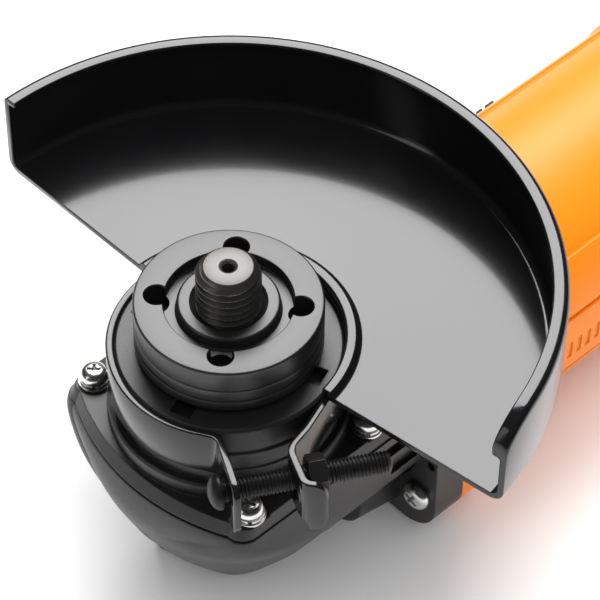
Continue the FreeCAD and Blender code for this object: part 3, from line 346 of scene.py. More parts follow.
@dataclass(frozen=True)
class CastPaint(Finish):
    """Satin black paint over a die casting, with its fine sandy grain."""

    base: Colour = (0.006, 0.006, 0.0063)
    light: Colour = (0.014, 0.014, 0.0145)
    roughness: float = 0.36
    grain: float = 0.05

    def make(self, shader: Shader) -> bpy.types.Material:
        """Build the painted casting.

        Args:
            shader: The empty tree.

        Returns:
            The material.
        """
        sand = shader.noise(2.6, 4.0, rough=0.7)
        pits = shader.cells(1.1).ramp(0.0, 0.45)
        cloud = shader.noise(0.05, 4.0)
        edge_wear_and_highlight = shader.edges(0.5) * shader.noise(0.8, 3.0).ramp(0.35, 0.65)
        height = sand + pits * 0.35 + cloud * 0.5
        normal = shader.bump(height, self.grain, under=shader.soft_edge(0.5))
        colour = shader.tint(cloud * 0.5 + sand * 0.25, self.base, self.light)
        colour = shader.tint(edge_wear_and_highlight * 0.35, colour, (0.09, 0.09, 0.095))
        return shader.finish(base_color=colour, normal=normal,
                             roughness=self.roughness + sand * 0.14 - edge_wear_and_highlight * 0.08,
                             specular_ior_level=0.5, coat_weight=0.12, coat_roughness=0.25)


@dataclass(frozen=True)
class TurnedSteel(Finish):
    """Steel turned on a lathe: rings round its axis, bright where it is worn."""

    base: Colour = (0.05, 0.05, 0.052)
    bright: Colour = (0.55, 0.54, 0.52)
    roughness: float = 0.32
    metallic: float = 0.9
    axis: Axis = Axis.SPINDLE
    rings: float = 0.02
    wear: float = 0.8

    def make(self, shader: Shader) -> bpy.types.Material:
        """Build the turned steel.

        Args:
            shader: The empty tree.

        Returns:
            The material.
        """
        round_about = shader.turned(self.axis)
        rings = shader.noise(3.2, 5.0, where=round_about, rough=0.75)
        broad = shader.noise(0.5, 2.0, where=round_about)
        grain = shader.noise(5.0, 3.0, rough=0.7)
        cloud = shader.noise(0.12, 4.0)
        worn = shader.edges(0.3) * shader.noise(0.9, 3.0).ramp(0.2, 0.55, 0.35, 1.0)
        colour = shader.tint(rings * 0.35 + grain * 0.3 + cloud * 0.35, self.base,
                             tuple(1.9 * c for c in self.base))
        colour = shader.tint(worn * self.wear, colour, self.bright)
        normal = shader.bump(rings + grain * 0.6, self.rings, under=shader.soft_edge(0.18))
        return shader.finish(base_color=colour, normal=normal,
                             metallic=self.metallic + worn * 0.1,
                             roughness=self.roughness + broad * 0.08 + grain * 0.12 - worn * 0.1)


@dataclass(frozen=True)
class ZincPlate(Finish):
    """Bright zinc over pressed steel, with small handling marks."""

    base: Colour = (0.8, 0.8, 0.79)

    def make(self, shader: Shader) -> bpy.types.Material:
        """Build the plating.

        Args:
            shader: The empty tree.

        Returns:
            The material.
        """
        streaks = shader.noise(0.9, 4.0, where=shader.stretched(1, 1, 4))
        spots = shader.cells(1.6).ramp(0.06, 0.2)
        cloud = shader.noise(0.4, 3.0)
        colour = shader.tint(cloud * 0.7, self.base, (0.62, 0.62, 0.6))
        colour = shader.tint((1.0 - spots) * 0.4, colour, (0.4, 0.39, 0.36))
        normal = shader.bump(streaks + spots * 0.3, 0.012, under=shader.soft_edge(0.15))
        return shader.finish(base_color=colour, normal=normal, metallic=1.0,
                             roughness=0.16 + streaks * 0.12 + cloud * 0.06)


@dataclass(frozen=True)
class Moulding(Finish):
    """Injection-moulded plastic with a spark-eroded grain."""

    base: Colour = (1.0, 0.27, 0.003)
    deep: Colour = (0.93, 0.23, 0.002)
    roughness: float = 0.42
    grain: float = 0.02
    edge: float = 0.5
    scatter: float = 0.0

    def make(self, shader: Shader) -> bpy.types.Material:
        """Build the moulding.

        Args:
            shader: The empty tree.

        Returns:
            The material.
        """
        texture = shader.noise(4.5, 3.0, rough=0.6)
        cloud = shader.noise(0.03, 3.0)
        flow = shader.noise(0.3, 2.0, where=shader.stretched(0.3, 1, 1))
        # Edge mask: on the colour it is a painted highlight along every edge; on the roughness it
        # is real rubbing that smooths the edges.
        edge_wear_and_highlight = shader.edges(0.6)
        colour = shader.tint(cloud * 0.7 + flow * 0.3, self.base, self.deep)
        # Painted highlight: a paler copy of the base colour laid along the edges.
        edge_highlight_colour = tuple(min(1.0, c * 1.25 + 0.02) for c in self.base)
        colour = shader.tint(edge_wear_and_highlight * 0.15, colour, edge_highlight_colour)
        normal = shader.bump(texture + flow * 0.3, self.grain, under=shader.soft_edge(self.edge))
        return shader.finish(base_color=colour, normal=normal,
                             roughness=self.roughness + texture * 0.12 - edge_wear_and_highlight * 0.06,
                             specular_ior_level=0.45, subsurface_weight=self.scatter,
                             subsurface_scale=0.002, coat_weight=0.05, coat_roughness=0.3)


@dataclass(frozen=True)
class Wound(Finish):
    """Varnished copper wire laid round an axis."""

    base: Colour = (0.45, 0.13, 0.03)
    pitch: float = 0.45

    def make(self, shader: Shader) -> bpy.types.Material:
        """Build the winding.

        Args:
            shader: The empty tree.

        Returns:
            The material.
        """
        settings = {"wave_type": "BANDS", "bands_direction": "DIAGONAL"}
        wires = shader.add("TexWave", settings, {"Vector": shader.stretched(1, 1, 1),
                                                 "Scale": 0.5 / self.pitch, "Distortion": 1.5,
                                                 "Detail": 1.0, "Detail Scale": 0.4}, output=1)
        varnish = shader.noise(0.3, 3.0)
        colour = shader.tint(wires * 0.8, tuple(0.3 * c for c in self.base), self.base)
        colour = shader.tint(varnish.ramp(0.4, 0.8) * 0.5, colour, (0.2, 0.05, 0.015))
        normal = shader.bump(wires, 0.12)
        return shader.finish(base_color=colour, normal=normal, metallic=0.35 + varnish * 0.3,
                             roughness=0.28 + varnish * 0.15, coat_weight=0.5,
                             coat_roughness=0.12)


@dataclass(frozen=True)
class Laminations(Finish):
    """Stacked electrical steel, seen as fine lines across the motor axis."""

    base: Colour = (0.3, 0.3, 0.31)
    sheet: float = 0.5

    def make(self, shader: Shader) -> bpy.types.Material:
        """Build the stack.

        Args:
            shader: The empty tree.

        Returns:
            The material.
        """
        settings = {"wave_type": "BANDS", "bands_direction": "X", "wave_profile": "SAW"}
        lines = shader.add("TexWave", settings, {"Vector": shader.stretched(1, 1, 1),
                                                 "Scale": 0.314 / self.sheet}, output=1)
        stain = shader.noise(0.25, 4.0)
        colour = shader.tint(lines.ramp(0.0, 0.3), (0.05, 0.045, 0.045), self.base)
        colour = shader.tint(stain.ramp(0.45, 0.8) * 0.6, colour, (0.12, 0.1, 0.1))
        return shader.finish(base_color=colour, normal=shader.bump(lines, 0.05), metallic=0.85,
                             roughness=0.38 + stain * 0.2)


@dataclass(frozen=True)
class Elastic(Finish):
    """Moulded rubber with a soft bloom and a painted highlight on its edges."""

    base: Colour = (0.018, 0.018, 0.018)
    bloom_and_edge_highlight: Colour = (0.06, 0.06, 0.058)
    roughness: float = 0.62

    def make(self, shader: Shader) -> bpy.types.Material:
        """Build the rubber or fibre.

        Args:
            shader: The empty tree.

        Returns:
            The material.
        """
        skin = shader.noise(2.2, 4.0, rough=0.65)
        dust = shader.noise(0.15, 4.0).ramp(0.4, 0.8)
        # Dust patches are real bloom; the edge term is a painted highlight that lightens every
        # edge.
        colour = shader.tint(dust * 0.6 + shader.edges(0.5) * 0.3, self.base, self.bloom_and_edge_highlight)
        normal = shader.bump(skin, 0.04, under=shader.soft_edge(0.3))
        return shader.finish(base_color=colour, normal=normal,
                             roughness=self.roughness + skin * 0.2)


GUARD_ENAMEL = Enamel("gloss_enamel")
CASTING = CastPaint("painted_casting")
BLACKENED = TurnedSteel("blackened_steel")
SPINDLE_STEEL = TurnedSteel("spindle_steel", base=(0.075, 0.073, 0.07), roughness=0.3, wear=1.0)
BLACK_OXIDE = TurnedSteel("black_oxide_fastener", base=(0.014, 0.014, 0.015),
                          bright=(0.16, 0.16, 0.16), roughness=0.3, metallic=0.75, wear=0.5)
NECK_METAL = TurnedSteel("machined_neck", base=(0.12, 0.12, 0.12), roughness=0.22, wear=0.6)
GEAR_STEEL = TurnedSteel("gear_steel", base=(0.3, 0.3, 0.3), roughness=0.25, rings=0.01)
BEARING_STEEL = TurnedSteel("bearing_steel", base=(0.42, 0.42, 0.43), roughness=0.14, rings=0.004)
MOTOR_STEEL = TurnedSteel("motor_shaft_steel", base=(0.32, 0.32, 0.33), roughness=0.22,
                          axis=Axis.MOTOR, rings=0.01)
COPPER_BARS = TurnedSteel("commutator_copper", base=(0.4, 0.17, 0.09), bright=(0.85, 0.48, 0.3),
                          roughness=0.25, axis=Axis.MOTOR, metallic=0.95)
BRASS = TurnedSteel("pressed_brass", base=(0.42, 0.3, 0.12), bright=(0.85, 0.66, 0.35),
                    roughness=0.25, rings=0.006)
SPRING = TurnedSteel("spring_wire", base=(0.3, 0.3, 0.32), roughness=0.2, rings=0.006)
ZINC = ZincPlate("zinc_plate")
ORANGE = Moulding("orange_housing", scatter=0.05)
BLACK_NYLON = Moulding("black_nylon", base=(0.017, 0.017, 0.018), deep=(0.012, 0.012, 0.013),
                       roughness=0.46, grain=0.05)
FILM_CAN = Moulding("capacitor_case", base=(0.75, 0.55, 0.08), deep=(0.7, 0.5, 0.06),
                    roughness=0.25, grain=0.01)
CARBON = Moulding("brush_carbon", base=(0.03, 0.03, 0.032), deep=(0.02, 0.02, 0.02), grain=0.06)
COPPER_WIRE = Wound("varnished_windings")
STACK = Laminations("laminated_stack")
RUBBER = Elastic("moulded_rubber")
FIBRE = Elastic("gasket_fibre", base=(0.05, 0.045, 0.04), bloom_and_edge_highlight=(0.12, 0.11, 0.1), roughness=0.8)

CARRIED: dict[Finish, str] = {
    CASTING: "gear_case bearing_cover",
    GUARD_ENAMEL: "guard_band guard",
    BLACK_OXIDE: "clamp_bolt clamp_nut",
    SPINDLE_STEEL: "spindle",
    BLACKENED: "inner_flange lock_nut",
    GEAR_STEEL: "ring_gear gear_circlip bearing_circlip",
    MOTOR_STEEL: "bevel_pinion pinion_nut armature_shaft",
    BEARING_STEEL: (
        "spindle_bearing_outer_ring spindle_bearing_inner_ring spindle_bearing_balls "
        "front_bearing_outer_ring front_bearing_inner_ring front_bearing_balls "
        "rear_bearing_outer_ring rear_bearing_inner_ring rear_bearing_balls needle_bush"),
    STACK: "armature_core stator_core",
    COPPER_WIRE: "armature_windings field_coils",
    COPPER_BARS: "commutator",
    BRASS: "brush_holders",
    SPRING: "lock_spring upper_brush_spring lower_brush_spring",
    CARBON: "upper_brush lower_brush",
    ORANGE: "motor_housing",
    BLACK_NYLON: (
        "left_handle_shell right_handle_shell switch_knob lock_button cooling_fan fan_baffle "
        "brush_plate switch_rod switch_unit cord_clamp"),
    FILM_CAN: "capacitor",
    RUBBER: "dust_seal rear_bearing_sleeve cord_inlet",
    FIBRE: "cover_gasket",
    ZINC: (
        "cover_screws cover_spring_washers cover_flat_washers case_screws handle_screws "
        "cord_clamp_screws stator_screws"),
}


# ------------------------------------------------------------------- meshes
def corner_arc(before: Vector, here: Vector, after: Vector, radius: float,
               steps: int) -> list[Vector]:
    """Round one corner of a flat path.

    Args:
        before: The point before the corner.
        here: The corner.
        after: The point after it.
        radius: The arc's radius, which gives way on short runs.
        steps: The arc's number of steps.

    Returns:
        The arc's points.
    """
    back, ahead = before - here, after - here
    half = back.angle(ahead) / 2
    longest = RUN_SHARE * min(back.length, ahead.length)
    run = min(radius / math.tan(half), longest)
    lean = math.hypot(run, run * math.tan(half))
    middle = here + (back.normalized() + ahead.normalized()).normalized() * lean
    first = here + back.normalized() * run - middle
    turn = first.angle_signed(here + ahead.normalized() * run - middle)
    return [middle + Matrix.Rotation(-turn * i / steps, 2) @ first for i in range(steps + 1)]


def rounded(corners: list[tuple[float, float, float]], steps: int = 5) -> list[Point2]:
    """Turn a closed outline's corners into arcs.

    Args:
        corners: The corners in order, each with its radius.
        steps: The steps of each arc.

    Returns:
        The outline's points.
    """
    points: list[Point2] = []
    spots = [Vector(corner[:2]) for corner in corners]
    for i, (x, y, radius) in enumerate(corners):
        after = spots[(i + 1) % len(spots)]
        arc = corner_arc(spots[i - 1], spots[i], after, radius, steps) if radius > 0 else []
        points += [(point.x, point.y) for point in arc] or [(x, y)]
    return points


class Sculpture:
    """A mesh under construction, in millimetres."""

    def __init__(self) -> None:
        """Start an empty mesh."""
        self.bm = bmesh.new()

    def loops(self, rings: list[list[Vector]], closed: bool = False, caps: bool = True) -> None:
        """Skin equal rings of points.

        Args:
            rings: The rings in order, with the same number of points.
            closed: Whether the last ring meets the first.
            caps: Whether open ends are filled.
        """
        verts = [[self.bm.verts.new(point) for point in ring] for ring in rings]
        count = len(verts[0])
        pairs = list(zip(verts, verts[1:])) + ([(verts[-1], verts[0])] if closed else [])
        for near, far in pairs:
            for i in range(count):
                j = (i + 1) % count
                self.bm.faces.new((near[i], near[j], far[j], far[i]))
        if caps and not closed:
            self.bm.faces.new(reversed(verts[0]))
            self.bm.faces.new(verts[-1])

    def lathe(self, outline: list[Point2], segments: int = 128) -> None:
        """Turn a closed (radius, height) outline about Z; points on the axis are merged.

        Args:
            outline: The outline's points.
            segments: The steps in a full turn.
        """
        rings = []
        for step in range(segments):
            angle = 2 * math.pi * step / segments
            across, up = math.cos(angle), math.sin(angle)
            rings.append([Vector((r * across, r * up, z)) for r, z in outline])
        self.loops(rings, closed=True)
        bmesh.ops.remove_doubles(self.bm, verts=self.bm.verts, dist=1e-4)

    def place(self, matrix: Matrix) -> None:
        """Move what has been built."""
        bmesh.ops.transform(self.bm, matrix=matrix, verts=self.bm.verts)

    def to_object(self, name: str, finish: Finish, sharp: float = SHARP_TURN) -> bpy.types.Object:
        """Write the mesh as an object.

        Args:
            name: The piece's name.
            finish: Its finish.
            sharp: Edges that turn by more than this many degrees stay sharp.

        Returns:
            The new object.
        """
        bmesh.ops.scale(self.bm, vec=(MM, MM, MM), verts=self.bm.verts)
        bmesh.ops.recalc_face_normals(self.bm, faces=self.bm.faces)
        mesh = bpy.data.meshes.new(name)
        self.bm.to_mesh(mesh)
        self.bm.free()
        piece = bpy.data.objects.new(name, mesh)
        bpy.context.scene.collection.objects.link(piece)
        smooth(piece, sharp)
        dress(piece, finish)
        return piece


def smooth(piece: bpy.types.Object, sharp: float) -> None:
    """Shade a mesh smooth apart from its sharp edges."""
    piece.data.shade_smooth()
    piece.data.set_sharp_from_angle(angle=math.radians(sharp))


def dress(piece: bpy.types.Object, finish: Finish) -> None:
    """Give a mesh one finish."""
    piece.data.materials.clear()
    piece.data.materials.append(finish.material())


def carve(piece: bpy.types.Object, cutters: list[Sculpture], sharp: float = SHARP_TURN) -> None:
    """Cut solids out of a piece.

    Args:
        piece: The mesh object to cut.
        cutters: The solids, which are used up.
        sharp: The angle for sharp edges afterwards, in degrees.
    """
    for index, cutter in enumerate(cutters):
        tool = cutter.to_object(f"cutter_{index}", BLACK_OXIDE)
        change = piece.modifiers.new("cut", "BOOLEAN")
        change.operation, change.solver, change.object = "DIFFERENCE", "EXACT", tool
        apply_modifiers(piece)
        bpy.data.objects.remove(tool, do_unlink=True)
    finish = piece.data.materials[0]
    piece.data.materials.clear()
    piece.data.materials.append(finish)
    smooth(piece, sharp)


def apply_modifiers(piece: bpy.types.Object) -> None:
    """Write a piece's modifiers into its mesh."""
    graph = bpy.context.evaluated_depsgraph_get()
    mesh = bpy.data.meshes.new_from_object(piece.evaluated_get(graph))
    piece.modifiers.clear()
    piece.data = mesh


def threaded(outline_low: list[Point2], radius: float, pitch: float, depth: float, low: float,
             high: float, tip: list[Point2], segments: int = 96, per_turn: int = 14) -> Sculpture:
    """A shank along +Z whose upper part has a real helical thread.

    Args:
        outline_low: (radius, height) points below the thread, from the axis outwards.
        radius: The thread's outer radius.
        pitch: The rise of one turn.
        depth: How deep the thread is cut.
        low: Where the thread begins.
        high: Where it ends.
        tip: (radius, height) points above it, ending on the axis; they also trim it.
        segments: The steps in a full turn.
        per_turn: The rings in one pitch.

    Returns:
        The mesh.
    """
    levels = max(2, int((high - low) / pitch * per_turn))
    shape = Sculpture()
    rings = [circle(r, z, segments) for r, z in outline_low]
    for level in range(levels + 1):
        z = low + (high - low) * level / levels
        fade, limit = min(1.0, (z - low) / pitch), trim(tip, z)
        ring = []
        for a in steps_round(segments):
            phase = ((z - low) / pitch - a / (2 * math.pi)) % 1.0
            crest = min(1.0, max(0.0, THREAD_SLOPE * abs(phase - 0.5) - THREAD_FLAT))
            r = min(radius - depth * crest * fade, limit)
            ring.append(Vector((r * math.cos(a), r * math.sin(a), z)))
        rings.append(ring)
    rings += [circle(r, z, segments) for r, z in tip if z > high]
    shape.loops(rings)
    return shape


def bent(spots: list[Vector], bends: tuple[float, ...]) -> list[Vector]:
    """Turn the inner corners of an open path into arcs.

    Args:
        spots: The path's corners, as 2D vectors.
        bends: The radius at each inner corner.

    Returns:
        The path's points.
    """
    points = [spots[0]]
    for before, corner, after, radius in zip(spots, spots[1:], spots[2:], bends):
        points += corner_arc(before, corner, after, radius, 10)
    return points + [spots[-1]]


def dense(spots: list[Vector], step: float) -> list[Vector]:
    """Split a path's long runs so that no two points are further apart than a step.

    Args:
        spots: The path's points.
        step: The longest run.

    Returns:
        The points.
    """
    points = [spots[0]]
    for near, far in zip(spots, spots[1:]):
        parts = max(1, math.ceil((far - near).length / step))
        if (far - near).length < 1e-4:
            continue
        points += [near.lerp(far, i / parts) for i in range(1, parts + 1)]
    return points


def steps_round(segments: int) -> list[float]:
    """The angles of a full turn in equal steps."""
    return [2 * math.pi * i / segments for i in range(segments)]


def circle(radius: float, level: float, segments: int) -> list[Vector]:
    """A ring of points round Z."""
    return [Vector((radius * math.cos(a), radius * math.sin(a), level))
            for a in steps_round(segments)]


def trim(tip: list[Point2], z: float) -> float:
    """The largest radius that a tip's outline allows at a height."""
    for (r0, z0), (r1, z1) in zip(tip, tip[1:]):
        if z0 <= z <= z1 and z1 > z0:
            return r0 + (r1 - r0) * (z - z0) / (z1 - z0)
    return tip[0][0] if z < tip[0][1] else tip[-1][0]


# ------------------------------------------------------------ sub-assemblies
@dataclass
class SpindleLine:
    """The output spindle with the inner flange and the lock nut on it."""

    thread_radius: float = 7.0
    pitch: float = 2.0
    thread_depth: float = 1.15
    thread_low: float = 79.0
    face_radius: float = 5.3
    tip: float = 94.8
    nut_low: float = 78.3
    nut_top: float = 84.0
    nut_radius: float = 20.3
    pin_hole: float = 2.7
    pin_circle: float = 15.25
    pin_turn: float = 41.2
    recess_floor: float = 81.2
    recess_radius: float = 13.9

    def spindle(self) -> bpy.types.Object:
        """Build the spindle with its thread and centre hole.

        Returns:
            The piece, in place of the plain node.
        """
        low = [(0.01, 4.52), (3.6, 4.52), (3.98, 4.9), (3.98, 13.9), (4.98, 14.1), (4.98, 36.9),
               (5.98, 37.1), (5.98, 60.0), (8.48, 60.05), (8.48, 65.6), (8.1, 65.98),
               (6.95, 66.0), (6.95, self.thread_low - 0.1)]
        top = self.tip
        tip = [(self.thread_radius, 0.0), (self.thread_radius, top - 1.9),
               (self.face_radius + 0.12, top - 0.12), (self.face_radius, top - 0.05),
               (self.face_radius - 0.15, top), (2.1, top)]
        steel = threaded(low, self.thread_radius, self.pitch, self.thread_depth, self.thread_low,
                         top - 0.12, tip)
        piece = steel.to_object("threaded_spindle", SPINDLE_STEEL, KEEN_TURN)
        hole = Sculpture()
        hole.lathe([(0, self.tip + 1), (2.3, self.tip + 1), (2.3, self.tip + 0.2),
                    (1.3, self.tip - 0.6), (1.3, self.tip - 3.2), (0, self.tip - 4)], 48)
        carve(piece, [hole], KEEN_TURN)
        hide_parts("spindle")
        return piece

    def nut(self) -> bpy.types.Object:
        """Build the lock nut: a rim, a recess, a boss and four spanner holes.

        Returns:
            The piece, in place of the plain node.
        """
        low, top, outer = self.nut_low + 0.02, self.nut_top, self.nut_radius
        recess, floor, bore = self.recess_radius, self.recess_floor, self.thread_radius + 0.05
        ring = Sculpture()
        ring.lathe(rounded([
            (bore, low, 0), (outer, low, 0.3), (outer, top, 0.55), (recess, top, 0.25),
            (recess, floor, 0.4), (11.2, floor, 0.3), (11.0, top - 0.1, 0.7), (8.3, top - 0.1, 0.3),
            (7.7, top - 0.9, 0.3), (bore, top - 1.4, 0.1)]), 160)
        piece = ring.to_object("lock_nut_turned", BLACKENED)
        holes = []
        for quarter in range(4):
            angle = math.radians(self.pin_turn + 90 * quarter)
            cutter = Sculpture()
            cutter.lathe([(0, 76), (self.pin_hole, 76), (self.pin_hole, top - 0.25),
                          (self.pin_hole + 0.35, top + 0.1), (self.pin_hole + 0.35, 90),
                          (0, 90)], 40)
            cutter.place(Matrix.Translation((self.pin_circle * math.cos(angle),
                                             self.pin_circle * math.sin(angle), 0)))
            holes.append(cutter)
        carve(piece, holes)
        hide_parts("lock_nut")
        return piece

    def flange(self) -> bpy.types.Object:
        """Build the inner flange with its turned grooves.

        Returns:
            The piece, in place of the plain node.
        """
        least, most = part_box("inner_flange")
        low, high, reach = least.z / MM, most.z / MM, most.x / MM
        bore = self.thread_radius + 0.05
        body = Sculpture()
        body.lathe(rounded([
            (bore, low, 0), (12.6, low, 0.4), (12.6, high - 7.4, 0.4),
            (reach - 1.6, high - 7.2, 0.4), (reach, high - 6.0, 0.5), (reach, high - 3.6, 0.15),
            (reach - 0.45, high - 3.4, 0.1), (reach - 0.45, high - 2.9, 0.1),
            (reach, high - 2.7, 0.15), (reach, high, 0.35), (bore, high, 0)]), 160)
        piece = body.to_object("inner_flange_turned", BLACKENED)
        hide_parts("inner_flange")
        return piece

    def build(self) -> None:
        """Make the pieces and hang each on its body."""
        for piece, body in ((self.spindle(), "output_spindle"), (self.nut(), "wheel_nut"),
                            (self.flange(), "output_spindle")):
            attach(piece, body)
            LOG.info("%s rides on %s", piece.name, body)


@dataclass
class WheelGuard:
    """The pressed guard with its rolled lip."""

    inner: float = 24.9
    outer: float = 71.0
    low: float = 70.9
    sheet: float = 1.5
    top: float = 93.4
    start: float = -81.0
    sweep: float = 172.3
    steps: int = 200
    corner_reach: float = 10.5
    corner_drop: float = 7.3
    end_edge: float = 0.18

    def section(self) -> list[Point2]:
        """Return the guard's cross-section as (radius, height) points."""
        inner, outer, low, top, wall = self.inner, self.outer, self.low, self.top, self.sheet
        return rounded([
            (inner, low, 0.2), (outer, low, 3.4), (outer, top, 1.5), (outer - 3.6, top - 0.1, 0.4),
            (outer - 3.5, top - 1.4, 0.4), (outer - wall, top - 1.5, 0.7),
            (outer - wall, low + wall, 2.1), (inner + 3.2, low + wall, 0.8),
            (inner + 2.2, low + wall + 1.4, 0.6), (inner, low + wall + 1.4, 0.5)], 7)

    def drop(self, angle: float, z: float) -> float:
        """How far the lip comes down towards the rounded end.

        Args:
            angle: The way round from the guard's start, in degrees.
            z: The height of the point.

        Returns:
            The drop in millimetres.
        """
        along = math.radians(angle) * self.outer
        if along >= self.corner_reach:
            return 0.0
        share = 1.0 - math.sqrt(max(0.0, 1.0 - (1.0 - along / self.corner_reach) ** 2))
        height = (z - self.low - 6.0) / (self.top - 3.0 - self.low - 6.0)
        return self.corner_drop * share * min(1.0, max(0.0, height))

    def spread(self) -> list[float]:
        """The angles of the rings, closer at both ends and round the dropped corner."""
        pitch = self.sweep / self.steps
        near = [pitch * share * 0.12 for share in (1, 2.5, 4.5)]
        even = [self.sweep * i / self.steps for i in range(self.steps + 1)]
        middle = [angle for angle in even if near[-1] < angle < self.sweep - near[-1]]
        far = [self.sweep - angle for angle in reversed(near)]
        corner = [math.degrees(self.corner_reach * share / self.outer)
                  for share in (0.03, 0.08, 0.15, 0.25, 0.38, 0.5, 0.65, 0.8, 0.95)]
        return sorted({0.0, *near, *middle, *far, self.sweep, *corner})

    def inset(self, section: list[Point2]) -> list[Point2]:
        """Draw a section in by the width of the cut ends' soft edge.

        Args:
            section: The cross-section's points.

        Returns:
            The smaller section.
        """
        points = []
        for index, (r, z) in enumerate(section):
            after = Vector(section[(index + 1) % len(section)])
            along = (after - Vector(section[index - 1])).normalized()
            points.append((r - along.y * self.end_edge, z + along.x * self.end_edge))
        return points

    def guard(self) -> bpy.types.Object:
        """Build the guard.

        Returns:
            The piece, in place of the plain node.
        """
        section = self.section()
        inset = self.inset(section)
        rings = []
        for angle in self.spread():
            turn = math.radians(self.start + angle)
            at_end = min(angle, self.sweep - angle) < 1e-6
            ring = []
            for r, z in inset if at_end else section:
                z -= self.drop(angle, z)
                ring.append(Vector((r * math.cos(turn), r * math.sin(turn), z)))
            rings.append(ring)
        shell = Sculpture()
        shell.loops(rings)
        piece = shell.to_object("pressed_guard", GUARD_ENAMEL, KEEN_TURN)
        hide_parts("guard")
        return piece

    def build(self) -> None:
        """Make the pieces and hang them on the guard's body."""
        piece = self.guard()
        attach(piece, "wheel_guard")
        LOG.info("%s rides on wheel_guard", piece.name)


